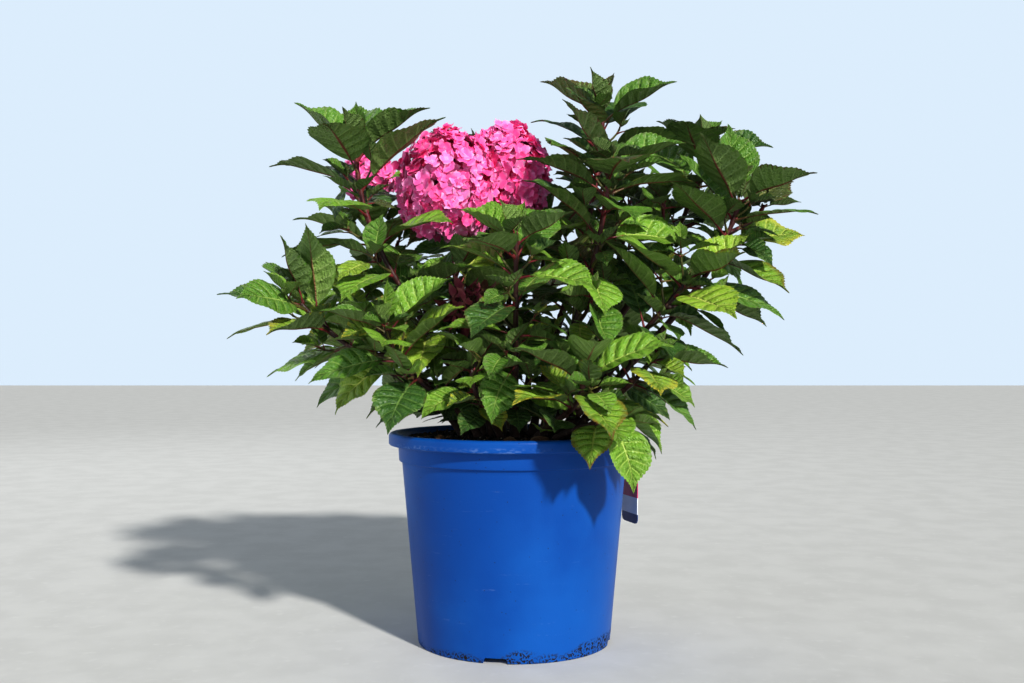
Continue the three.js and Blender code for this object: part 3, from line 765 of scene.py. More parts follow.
@dataclass(frozen=True)
class LeafRule:
    """How leaves stand on a limb by their place on it, youngest pair first, and their proportions."""

    size: tuple[float, ...] = (0.52, 0.86, 1.0, 1.0, 0.98, 0.94, 0.88, 0.82, 0.76, 0.7)
    spread: tuple[float, ...] = (22, 42, 54, 62, 68, 76, 84, 90, 94, 96)
    droop: tuple[float, ...] = (26, 40, 48, 50, 52, 54, 58, 58, 58, 58)
    gap: tuple[float, ...] = (3, 8, 13, 20, 28, 34, 36, 36, 36, 36)
    petiole: float = 0.22
    half_width: float = 0.31
    fold: float = 5.0
    stations: int = 10
    across: int = 5
    clear: float = 5.5
    small_clear: float = 3.0
    under_head: float = 9.0
    lowest: float = 238.0
    head_reach: float = 9.0
    light: Pair = (0.5, -0.866)
    light_roll: float = 20.0
    light_pitch: float = 10.0

    def depth(self, pair: int, scale: float) -> float:
        """Returns how far below a limb's tip a pair of leaves stands."""
        return sum(gap * scale for gap in self.gap[: pair + 1])

    def half(self, share: Array) -> Array:
        """Returns half the blade's width at shares of its length, as a share of its length."""
        t = np.clip(share, 0.0, 1.0)
        return self.half_width * np.abs(np.sin(math.pi * t**0.82)) ** 0.85


RULE = LeafRule()
TURNS = ((0, 1), (1, 0), (-1, 0), (0, -1), (1, 1), (-1, 1), (1, -1), (-1, -1))
# The small changes of heading, pitch and size that a leaf makes, in order, to find its own air.
TRIES = [(0.0, 0.0, 1.0)] + [(yaw * swing, pitch * swing, size) for size in (1.0, 0.88, 0.74)
                             for swing in (12, 24, 36) for yaw, pitch in TURNS]


@dataclass(frozen=True)
class LeafPlan:
    """What decides a leaf before it looks for its own air.

    key holds its shoot's number, its branch, its pair and its side.
    """

    key: tuple[int, ...]
    stage: int
    node: Station
    distance: float
    phase: float
    spread: float
    droop: float
    roll: float
    full: float
    hangs: bool = False


class Leaf:
    """A posed leaf: stations along petiole and blade, each with its own small frame."""

    STEEPEST = -84.0
    BEND = 1.6

    def __init__(self, plan: LeafPlan, yaw: float = 0.0, pitch: float = 0.0, size: float = 1.0) -> None:
        """Poses the leaf.

        Args:
            plan: what decides it.
            yaw: a change of its heading in degrees.
            pitch: a change of its rise in degrees.
            size: its size as a share of the planned one.
        """
        self.plan = plan
        self.length = plan.full * size
        self.petiole = self.length * RULE.petiole
        self.total = self.petiole + self.length
        spread = math.radians(plan.spread)
        first = plan.node.way * math.cos(spread) + out_of(plan.node.way, plan.phase) * math.sin(spread)
        heading = math.atan2(first[1], first[0]) + math.radians(yaw)
        facing = math.cos(heading) * RULE.light[0] + math.sin(heading) * RULE.light[1]
        beside = math.sin(heading) * RULE.light[0] - math.cos(heading) * RULE.light[1]
        rise = math.asin(min(max(first[2], -1.0), 1.0)) + math.radians(pitch - RULE.light_pitch * facing)
        share = np.arange(RULE.stations + 1) / RULE.stations
        lift = np.maximum(rise - math.radians(plan.droop) * share**self.BEND, math.radians(self.STEEPEST))
        c, s = np.cos(lift)[:, None], np.sin(lift)[:, None]
        self.direction = c * level(heading) + s * UP
        flat = -s * level(heading) + c * UP
        side = np.cross(self.direction, flat)
        roll = math.radians(plan.roll + RULE.light_roll * beside)
        self.normal = flat * math.cos(roll) + side * math.sin(roll)
        self.across = side * math.cos(roll) - flat * math.sin(roll)
        steps = self.direction * (self.total / RULE.stations)
        self.place = plan.node.point + np.concatenate([np.zeros((1, 3)), np.cumsum(steps, axis=0)[:-1]])
        blade = (share * self.total - self.petiole) / self.length
        self.half = np.where(blade > 0, RULE.half(blade) * self.length, 0.0)
        self.middle = self.place[RULE.stations // 2]
        self.samples = self.spots()

    def spots(self) -> Array:
        """Gives points on the blade that stand for it when it is tested against others.

        Returns:
            The points.
        """
        wide = self.half > 0
        shares = 2 * np.arange(RULE.across) / (RULE.across - 1) - 1
        half = self.half[wide][:, None, None]
        rows = self.place[wide][:, None] + self.across[wide][:, None] * (shares[None, :, None] * half)
        lift = np.abs(shares)[None, :, None] * half * math.tan(math.radians(RULE.fold))
        return np.concatenate([self.place[~wide], (rows + self.normal[wide][:, None] * lift).reshape(-1, 3)])

    def is_near(self, points: Array, clear: Union[float, Array]) -> bool:
        """Tells whether any point comes nearer to the blade than the air that it is due.

        Args:
            points: the points.
            clear: the air that each is due.

        Returns:
            Whether one does.
        """
        half = self.total / RULE.stations / 2 + 1
        off = points[:, None] - self.place[None]
        sideways = np.abs(np.einsum("psx,sx->ps", off, self.across))
        forward = np.abs(np.einsum("psx,sx->ps", off, self.direction))
        lift = np.einsum("psx,sx->ps", off, self.normal) - sideways * math.tan(math.radians(RULE.fold))
        room = np.broadcast_to(np.asarray(clear, float), (len(points),))[:, None]
        inside = (self.half > 0) & (forward < half) & (sideways < self.half + 2) & (np.abs(lift) < room)
        return bool(inside.any())


@dataclass(frozen=True)
class Head:
    """A flower head: the shoot that it ends, its centre, its radii and its stalk."""

    index: int
    centre: Array
    radii: Array
    stalk: Limb


class Space:
    """The plant's limbs, heads and leaves so far, which each new piece keeps clear of.

    MARK is the step between the points that stand for a limb. REACH and JOINT are how far beyond a leaf
    limbs are tested, and how near its foot its own limb isn't. BLADE_AIR and LINE_AIR are the air that a
    limb is due from a blade and from a leaf's middle line.
    """

    MARK = 6.0
    REACH = 12.0
    JOINT = 14.0
    BLADE_AIR = 1.5
    LINE_AIR = 4.5
    POT_AIR = (5.0, 4.0)

    def __init__(self, canes: Sequence[Limb], heads: Sequence[Head], pot_height: float,
                 rim_radius: float) -> None:
        """Starts with canes and heads.

        Args:
            canes: the limb of each shoot, in order.
            heads: the flower heads.
            pot_height: the height of the pot's lip.
            rim_radius: the radius of the pot's lip.
        """
        self.heads = heads
        self.leaves: list[Leaf] = []
        self.balls = np.zeros((0, 4))
        self.rim, self.low = rim_radius + self.POT_AIR[0], pot_height + self.POT_AIR[1]
        self.limbs: list[tuple[int, Array, Array]] = []
        for index, cane in enumerate(canes):
            self.add_limb(cane, index)
        for head in heads:
            self.add_limb(head.stalk, head.index)

    def add_limb(self, limb: Limb, index: int) -> None:
        """Adds a limb that belongs to a shoot."""
        self.limbs.append((index, *limb.marks(self.MARK)))
        self.points = np.concatenate([points for _, points, _ in self.limbs])
        self.radii = np.concatenate([radii for _, _, radii in self.limbs])
        self.owners = np.concatenate([np.full(len(points), owner) for owner, points, _ in self.limbs])

    def in_head(self, points: Array, margin: Union[float, Array]) -> bool:
        """Tells whether any point is inside a flower head made larger by a margin."""
        room = np.broadcast_to(np.asarray(margin, float), (len(points),))[:, None]
        return any(bool((np.linalg.norm((points - head.centre) / (head.radii + room), axis=1) < 1).any())
                   for head in self.heads)

    def twig_is_free(self, twig: Limb, index: int, clear: float) -> bool:
        """Tells whether a side twig keeps clear of the heads and of the other shoots' limbs.

        Args:
            twig: the twig.
            index: the number of its shoot.
            clear: the air that it keeps.

        Returns:
            Whether it does.
        """
        points, radii = twig.marks(self.MARK)
        if self.in_head(points, RULE.head_reach + radii):
            return False
        other = self.owners != index
        apart = np.linalg.norm(points[:, None] - self.points[other][None], axis=2)
        return not bool((apart < radii[:, None] + self.radii[other][None] + clear).any())

    def leaf_is_free(self, leaf: Leaf, clear: float) -> bool:
        """Tells whether a posed leaf keeps clear of everything placed before it.

        Args:
            leaf: the leaf.
            clear: the air that it keeps from other blades.

        Returns:
            Whether it is free.
        """
        too_low = leaf.samples[:, 2] < RULE.lowest
        if leaf.plan.hangs:
            over_pot = np.hypot(leaf.samples[:, 0], leaf.samples[:, 1]) < self.rim
            too_low = (leaf.samples[:, 2] < self.low) & over_pot
        if too_low.any() or self.in_head(leaf.samples, RULE.head_reach):
            return False
        near = np.linalg.norm(self.points - leaf.middle, axis=1) <= leaf.total / 2 + self.REACH
        base = np.linalg.norm(self.points - leaf.plan.node.point, axis=1) < leaf.petiole + self.JOINT
        near &= ~((self.owners == leaf.plan.key[0]) & base)
        if near.any():
            points, radii = self.points[near], self.radii[near]
            apart = np.linalg.norm(points[:, None] - leaf.place[None], axis=2) - radii[:, None]
            if leaf.is_near(points, radii + self.BLADE_AIR) or (apart < self.LINE_AIR).any():
                return False
        apart = np.linalg.norm(self.balls[:, :3] - leaf.middle, axis=1)
        for k in np.nonzero(apart <= (self.balls[:, 3] + leaf.total) / 2 + RULE.clear)[0]:
            other = self.leaves[k]
            if other.is_near(leaf.samples, clear) or leaf.is_near(other.samples, clear):
                return False
        return True

    def add_leaf(self, leaf: Leaf) -> None:
        """Adds a leaf that has settled."""
        self.leaves.append(leaf)
        self.balls = np.vstack([self.balls, [*leaf.middle, leaf.total]])


@dataclass(frozen=True)
class Tuft:
    """The leaves of one limb: whose they are, how many pairs, and how they stand."""

    index: int
    branch: int
    pairs: int
    phase: float
    size: float
    tight: float = 1.0
    age: int = 0
    open: float = 1.0
    arch: float = 1.0
    hangs: bool = False
    under_head: bool = False
    clear: float = RULE.clear


@dataclass
class Growth:
    """Everything that one shoot carries once it has grown."""

    index: int
    cane: Limb
    joint: float
    leaves: list[Leaf]
    twigs: list[Limb]
    sprigs: list[Limb] = field(default_factory=list)
    small: list[Leaf] = field(default_factory=list)

    @property
    def shoot(self) -> Shoot:
        """The shoot that it belongs to."""
        return SHOOTS[self.index]


@dataclass
class Plant:
    """The plant's limbs and leaves, grown by the rule that its solids follow."""

    soil_top: float = 229.8
    pot_height: float = 233.0
    rim_radius: float = 140.0
    foot_radius: float = 4.8
    tip_radius: float = 2.2
    thinnest: float = 0.62
    full_length: float = 900.0
    twig_length: float = 62.0
    twig_lean: float = 46.0
    twig_reach: float = 0.94
    twig_rise: float = 0.1
    twig_radii: Pair = (2.6, 1.8)
    twig_pairs: int = 2
    twig_leaf: float = 0.8
    twig_clear: float = 5.0
    sprig_length: float = 28.0
    sprig_radii: Pair = (1.5, 1.0)
    sprig_leaf: float = 40.0
    sprig_share: float = 0.85
    sprig_clear: float = 2.0
    low_gap: float = 16.0
    low_leaf: float = 46.0
    low_reach: float = 118.0
    few_tries: int = 25

    def __post_init__(self) -> None:
        """Grows the plant."""
        canes = [self.cane_of(shoot) for shoot in SHOOTS]
        self.heads = [self.head_of(i, canes[i]) for i, shoot in enumerate(SHOOTS) if shoot.head]
        self.space = Space(canes, self.heads, self.pot_height, self.rim_radius)
        twigs = [self.twigs_of(i, cane) for i, cane in enumerate(canes)]
        self.growths = [self.grow(i, cane, twigs[i]) for i, cane in enumerate(canes)]
        for growth in self.growths:
            self.add_sprigs(growth)
            self.add_low_leaves(growth)

    def cane_of(self, shoot: Shoot) -> Limb:
        """Gives the cane of a shoot, from the compost to its tip.

        Args:
            shoot: the shoot.

        Returns:
            The cane.
        """
        tip = np.array(shoot.tip, float)
        foot = np.array([*shoot.foot, self.soil_top], float)
        out = unit(np.array([tip[0] - foot[0], tip[1] - foot[1], 0.0]))
        share = self.thinnest + float(np.linalg.norm(tip - foot)) / self.full_length
        radius = self.foot_radius * min(1.0, share)
        first, last = (out * math.sin(math.radians(lean)) + UP * math.cos(math.radians(lean))
                       for lean in shoot.leans)
        return Limb(Station(foot, first, radius), Station(tip, last, self.tip_radius))

    def head_of(self, index: int, cane: Limb) -> Head:
        """Gives the flower head at the end of a shoot.

        Args:
            index: the shoot's number.
            cane: its cane.

        Returns:
            The head.
        """
        end = cane.at(cane.length)
        centre = end.point + end.way * SHOOTS[index].rise
        foot = Station(end.point + end.way * 0.3, end.way, end.radius)
        stalk = Limb(foot, Station(centre, end.way, end.radius * 0.9))
        return Head(index, centre, np.array(SHOOTS[index].head, float), stalk)

    def twigs_of(self, index: int, cane: Limb) -> list[tuple[Limb, float]]:
        """Gives the side twigs of a shoot.

        Args:
            index: the shoot's number.
            cane: its cane.

        Returns:
            Each twig from the axil of an older pair, with the phase of its leaves.
        """
        shoot, made = SHOOTS[index], []
        for k in range(shoot.twigs):
            pair = shoot.pairs - 2 - k
            node = cane.at(cane.length - RULE.depth(pair, 1) + 5)
            phase = shoot.phase + pair * 90 + 180 * (k % 2) + jitter(12, index, k, 11)
            twig = self.twig_at(node, phase, self.twig_length * (1 + jitter(0.2, index, k, 12)),
                                self.twig_radii)
            if self.space.twig_is_free(twig, index, self.twig_clear):
                self.space.add_limb(twig, index)
                made.append((twig, phase + 90))
        return made

    def twig_at(self, node: Station, phase: float, length: float, radii: Pair) -> Limb:
        """Gives a twig that leaves a limb and turns upwards.

        Args:
            node: where it leaves.
            phase: its turn round the limb, in degrees.
            length: about how long it is.
            radii: its radii at the foot and the tip.

        Returns:
            The twig.
        """
        lean = math.radians(self.twig_lean)
        way = node.way * math.cos(lean) + out_of(node.way, phase) * math.sin(lean)
        end = node.point + (way * self.twig_reach + UP * self.twig_rise) * length
        return Limb(Station(node.point, way, radii[0]), Station(end, unit(way + UP * 0.9), radii[1]))

    def grow(self, index: int, cane: Limb, twigs: list[tuple[Limb, float]]) -> Growth:
        """Gives a shoot its large leaves.

        Args:
            index: the shoot's number.
            cane: its cane.
            twigs: its side twigs with their phases.

        Returns:
            The shoot's growth.
        """
        shoot = SHOOTS[index]
        main = Tuft(index, 0, shoot.pairs, shoot.phase, shoot.leaf, 1.0, shoot.age, shoot.open,
                    shoot.arch, shoot.hangs, shoot.head is not None)
        leaves = self.leaves_on(cane, main)
        lowest = min([leaf.plan.distance for leaf in leaves] + [cane.length - 20])
        for k, (twig, phase) in enumerate(twigs):
            size = shoot.leaf * self.twig_leaf
            leaves += self.leaves_on(twig, Tuft(index, k + 1, self.twig_pairs, phase, size, 0.72))
        return Growth(index, cane, max(lowest - 10, 20), leaves, [twig for twig, _ in twigs])

    def leaves_on(self, limb: Limb, tuft: Tuft) -> list[Leaf]:
        """Sets opposite pairs of leaves down a limb, each a quarter turn from the one above.

        Args:
            limb: the limb.
            tuft: how its leaves stand.

        Returns:
            The leaves that found room.
        """
        kept = []
        for pair in range(tuft.pairs):
            distance = limb.length - RULE.depth(pair, tuft.tight)
            distance -= RULE.under_head if tuft.under_head else 0
            if distance < 12:
                break
            stage = pair + tuft.age
            for side in (0, 1):
                key = (tuft.index, tuft.branch, pair, side)
                kept += self.settle(LeafPlan(
                    key, stage, limb.at(distance), distance,
                    phase=tuft.phase + pair * 90 + side * 180 + jitter(9, *key, 1),
                    spread=RULE.spread[stage] * tuft.open + jitter(7, *key, 2),
                    droop=RULE.droop[stage] * tuft.arch + jitter(12, *key, 3),
                    roll=jitter(24, *key, 4),
                    full=tuft.size * RULE.size[stage] * (1 + jitter(0.09, *key, 5)),
                    hangs=tuft.hangs,
                ), tuft.clear)
        return kept

    def settle(self, plan: LeafPlan, clear: float) -> list[Leaf]:
        """Poses a planned leaf at the first small change that leaves it free.

        Args:
            plan: the leaf's plan.
            clear: the air that it keeps from other blades.

        Returns:
            The leaf, or nothing where no change does.
        """
        for change in TRIES if clear == RULE.clear else TRIES[: self.few_tries]:
            leaf = Leaf(plan, *change)
            if self.space.leaf_is_free(leaf, clear):
                self.space.add_leaf(leaf)
                return [leaf]
        return []

    def add_sprigs(self, growth: Growth) -> None:
        """Adds finer sprigs in the axils of a shoot's leaves.

        Args:
            growth: what the shoot carries, which is added to.
        """
        for plan in [leaf.plan for leaf in growth.leaves if leaf.plan.stage > 1]:
            key = (*plan.key, 41)
            if chance(*key) > self.sprig_share:
                continue
            length = self.sprig_length * (1 + jitter(0.35, *key, 1))
            node = Station(plan.node.point + plan.node.way * 4, plan.node.way, plan.node.radius)
            sprig = self.twig_at(node, plan.phase, length, self.sprig_radii)
            if self.space.twig_is_free(sprig, growth.index, self.sprig_clear):
                branch = 10 + plan.key[1] * 30 + plan.key[2] * 2 + plan.key[3]
                size = self.sprig_leaf * (1 + jitter(0.3, *key, 2))
                made = self.leaves_on(sprig, Tuft(growth.index, branch, 2, plan.phase + 90, size, 0.55, 1,
                                                  clear=RULE.small_clear))
                growth.sprigs += [sprig] if made else []
                growth.small += made

    def add_low_leaves(self, growth: Growth) -> None:
        """Adds small leaves low on a shoot's cane, where it is near the plant's axis.

        Args:
            growth: what the shoot carries, which is added to.
        """
        distance, pair = growth.joint - 6, 0
        while distance > 16:
            node = growth.cane.at(distance)
            near = math.hypot(node.point[0], node.point[1]) < self.low_reach
            for side in (0, 1) if near else ():
                key = (growth.index, LOW_BRANCH, pair, side)
                growth.small += self.settle(LeafPlan(
                    key, 4, node, distance,
                    phase=growth.shoot.phase + 45 + pair * 90 + side * 180 + jitter(20, *key, 1),
                    spread=64 + jitter(14, *key, 2),
                    droop=34 + jitter(16, *key, 3),
                    roll=jitter(30, *key, 4),
                    full=self.low_leaf * (1 + jitter(0.4, *key, 5)),
                ), RULE.small_clear)
            distance -= self.low_gap
            pair += 1


@dataclass(frozen=True)
class BladeGrid:
    """How finely a blade is drawn: rows that follow its side veins, and columns from edge to edge.

    Its two skins share the margin's points and a point at each end.
    """

    rows: int
    columns: tuple[float, ...]
    vein_rows: int

    def faces(self, tint: int, under: int) -> tuple[list[tuple[Array, int]], int]:
        """Numbers the blade's faces.

        Args:
            tint: the number of the upper skin's material.
            under: the number of the lower skin's material.

        Returns:
            Quads and triangles of both skins with their materials, and the number of points.
        """
        rows, wide = self.rows - 1, len(self.columns)
        top = np.arange(rows * wide).reshape(rows, wide)
        inner = rows * wide + np.arange(rows * (wide - 2)).reshape(rows, wide - 2)
        low = np.concatenate([top[:, :1], inner, top[:, -1:]], axis=1)
        base = rows * wide + rows * (wide - 2)
        groups = []
        for skin, slot, order in ((top, tint, 1), (low, under, -1)):
            quads = np.stack([skin[:-1, :-1], skin[:-1, 1:], skin[1:, 1:], skin[1:, :-1]], axis=-1)
            foot = np.stack([np.full(wide - 1, base), skin[0, 1:], skin[0, :-1]], axis=-1)
            tip = np.stack([skin[-1, :-1], skin[-1, 1:], np.full(wide - 1, base + 1)], axis=-1)
            groups.append((quads.reshape(-1, 4)[:, ::order], slot))
            groups.append((np.concatenate([foot, tip])[:, ::order], slot))
        return groups, base + 2

    def chart(self) -> tuple[Array, Array]:
        """Lays the pattern out over the blade.

        Returns:
            The points' pattern coordinates, and which points are on the margin.
        """
        start = np.arange(1, self.rows) / self.rows
        chart = np.stack(np.meshgrid(start, np.array(self.columns) * 0.5 + 0.5, indexing="ij"), axis=-1)
        ends = [[0.0, 0.5], [1.0, 0.5]]
        chart = np.concatenate([chart.reshape(-1, 2), chart[:, 1:-1].reshape(-1, 2), ends])
        rim = np.isin(chart[:, 1], (0.0, 1.0))
        rim[-2:] = True
        return chart, rim


LARGE = BladeGrid(40, (-1.0, -0.72, -0.4, -0.08, 0.0, 0.08, 0.4, 0.72, 1.0), 5)
SMALL = BladeGrid(16, (-1.0, -0.55, -0.1, 0.0, 0.1, 0.55, 1.0), 2)
TINY = BladeGrid(10, (-1.0, -0.45, 0.0, 0.45, 1.0), 2)


@dataclass(frozen=True)
class BladeForm:
    """The relief of a leaf's blade, as shares of its length unless a name says otherwise."""

    broad: float = 1.08
    sweep: float = 0.15
    tooth: float = 0.019
    quilt: float = 0.012
    skin: float = 0.0035
    rib: float = 0.012
    groove: float = 0.004
    acute: float = 0.76
    acute_from: float = 0.56
    young_fold: float = 34.0
    old_fold: float = 17.0
    fold_spread: float = 8.0
    sink: float = 0.42
    hook: float = 0.025

    @staticmethod
    def weights(share: Array) -> tuple[Array, Array]:
        """Weighs a leaf's stations for places along it.

        Args:
            share: places from 0 at the node to 1 at the tip.

        Returns:
            Weights for a smooth line through the stations, and for an even blend of their frames.
        """
        at = np.clip(share.ravel(), 0.0, 1.0) * RULE.stations
        i = np.minimum(np.floor(at).astype(int), RULE.stations - 1)
        t = at - i
        rows = np.arange(len(at))
        line = np.zeros((len(at), RULE.stations + 1))
        parts = (-0.5 * t + t**2 - 0.5 * t**3, 1 - 2.5 * t**2 + 1.5 * t**3,
                 0.5 * t + 2 * t**2 - 1.5 * t**3, -0.5 * t**2 + 0.5 * t**3)
        for step, part in enumerate(parts):
            np.add.at(line, (rows, np.clip(i - 1 + step, 0, RULE.stations)), part)
        even = np.zeros_like(line)
        even[rows, i] += 1 - t
        even[rows, i + 1] += t
        return line, even

    def add(self, pile: MeshPile, leaves: Sequence[Leaf], grid: BladeGrid, tint: int, under: int) -> None:
        """Adds the blades of leaves that share a colouring.

        Args:
            pile: the mesh that they join.
            leaves: the leaves.
            grid: how finely they are drawn.
            tint: the number of the upper skin's material.
            under: the number of the lower skin's material.
        """
        if not leaves:
            return
        rows, columns, many = grid.rows, np.array(grid.columns), len(leaves)
        start = np.arange(rows + 1) / rows
        reach = start + self.sweep * np.sin(math.pi * start) ** 0.8
        wide = RULE.half(reach) * self.broad * (1 - self.acute * smooth(reach, self.acute_from, 1.0))
        side = np.abs(columns)
        share = start[:, None] + (reach - start)[:, None] * side**1.15
        lateral = columns * wide[:, None]
        toothed = (np.arange(rows + 1) % 2 == 1) * smooth(start, 0.06, 0.16) * self.tooth
        toothed = toothed * (1 - 0.95 * smooth(start, 0.68, 0.95))
        edge = side == 1.0
        lateral[:, edge] += np.sign(columns[edge]) * toothed[:, None] * 0.55
        share[:, edge] += toothed[:, None] * 0.8
        line, even = self.weights((RULE.petiole + np.minimum(share, 1.0)) / (1 + RULE.petiole))
        place = np.einsum("qk,nkx->nqx", line, np.stack([leaf.place for leaf in leaves]))
        normal = unit(np.einsum("qk,nkx->nqx", even, np.stack([leaf.normal for leaf in leaves])))
        across = unit(np.einsum("qk,nkx->nqx", even, np.stack([leaf.across for leaf in leaves])))
        length = np.array([leaf.length for leaf in leaves])[:, None]
        lift, width = self.form(leaves, grid, start, lateral)
        place = place + across * width[..., None] + normal * lift[..., None]
        ridge = np.exp(-((np.broadcast_to(columns, lateral.shape).ravel() / 0.05) ** 2))
        ridge = ridge * np.repeat(1 - start * 0.8, len(columns))
        skin = self.skin / 2 * np.tile(side < 1.0, rows + 1)
        top = place + normal * ((skin - self.groove * ridge) * length)[..., None]
        low = place - normal * ((skin + self.rib * ridge) * length)[..., None]
        top, low, place = (block.reshape(many, rows + 1, len(columns), 3) for block in (top, low, place))
        points = np.concatenate([top[:, 1:-1].reshape(many, -1, 3), low[:, 1:-1, 1:-1].reshape(many, -1, 3),
                                 place[:, [0, -1], len(columns) // 2]], axis=1)
        faces, count = grid.faces(tint, under)
        shift = (np.arange(many) * count)[:, None, None]
        groups = [((group[None] + shift).reshape(-1, group.shape[1]), slot) for group, slot in faces]
        chart, rim = grid.chart()
        pile.add(points.reshape(-1, 3), groups, np.tile(chart, (many, 1)), np.tile(rim, many))

    def form(self, leaves: Sequence[Leaf], grid: BladeGrid, start: Array,
             lateral: Array) -> tuple[Array, Array]:
        """Works out how far each point of a blade stands up and out.

        Args:
            leaves: the leaves.
            grid: how finely they are drawn.
            start: the rows' places on the midrib.
            lateral: the points' distances from it, as shares of the length.

        Returns:
            Heights over the midrib's line and distances from it, in millimetres.
        """
        side, flat = np.abs(np.array(grid.columns))[None, :], np.abs(lateral)
        signs = np.where(np.array(grid.columns) > 0, 1.0, -0.8)[None, :]
        swell = np.sin(math.pi * start)
        bulge = np.abs(np.sin(math.pi * np.arange(len(start)) / grid.vein_rows)) ** 0.8
        bulge = bulge[:, None] * (1 - side**4) * (1 - np.exp(-((side / 0.2) ** 2)))
        bulge = (bulge * smooth(start, 0.0, 0.1)[:, None] * (1 - smooth(start, 0.85, 1.0))[:, None]).ravel()
        lifts, widths = [], []
        for leaf in leaves:
            key, size = leaf.plan.key, leaf.length
            youth = max(0.0, 1.0 - leaf.plan.stage / 2.0)
            fold = math.radians(self.old_fold + self.young_fold * youth + jitter(self.fold_spread, *key, 51))
            sunk = self.sink * math.sin(fold) * RULE.half_width * self.broad
            sunk = (sunk * swell**2 + self.hook * smooth(start, 0.6, 1.0) ** 2)[:, None]
            cup = jitter(0.16, *key, 52) - 0.08 + 0.2 * youth
            wave = 0.012 + 0.012 * chance(*key, 53)
            turns = 2 * math.pi * (start * (2.2 + chance(*key, 54)) + chance(*key, 55))
            ripple = wave * np.sin(turns)[:, None] * signs * side**2 * swell[:, None]
            lift = flat * math.sin(fold) + cup * flat * side + ripple - sunk
            bend = jitter(0.05, *key, 56) * (start**2)[:, None]
            lifts.append((lift.ravel() + self.quilt * bulge) * size)
            widths.append((lateral * math.cos(fold) + bend * smooth(start, 0.1, 0.5)[:, None]).ravel() * size)
        return np.stack(lifts), np.stack(widths)


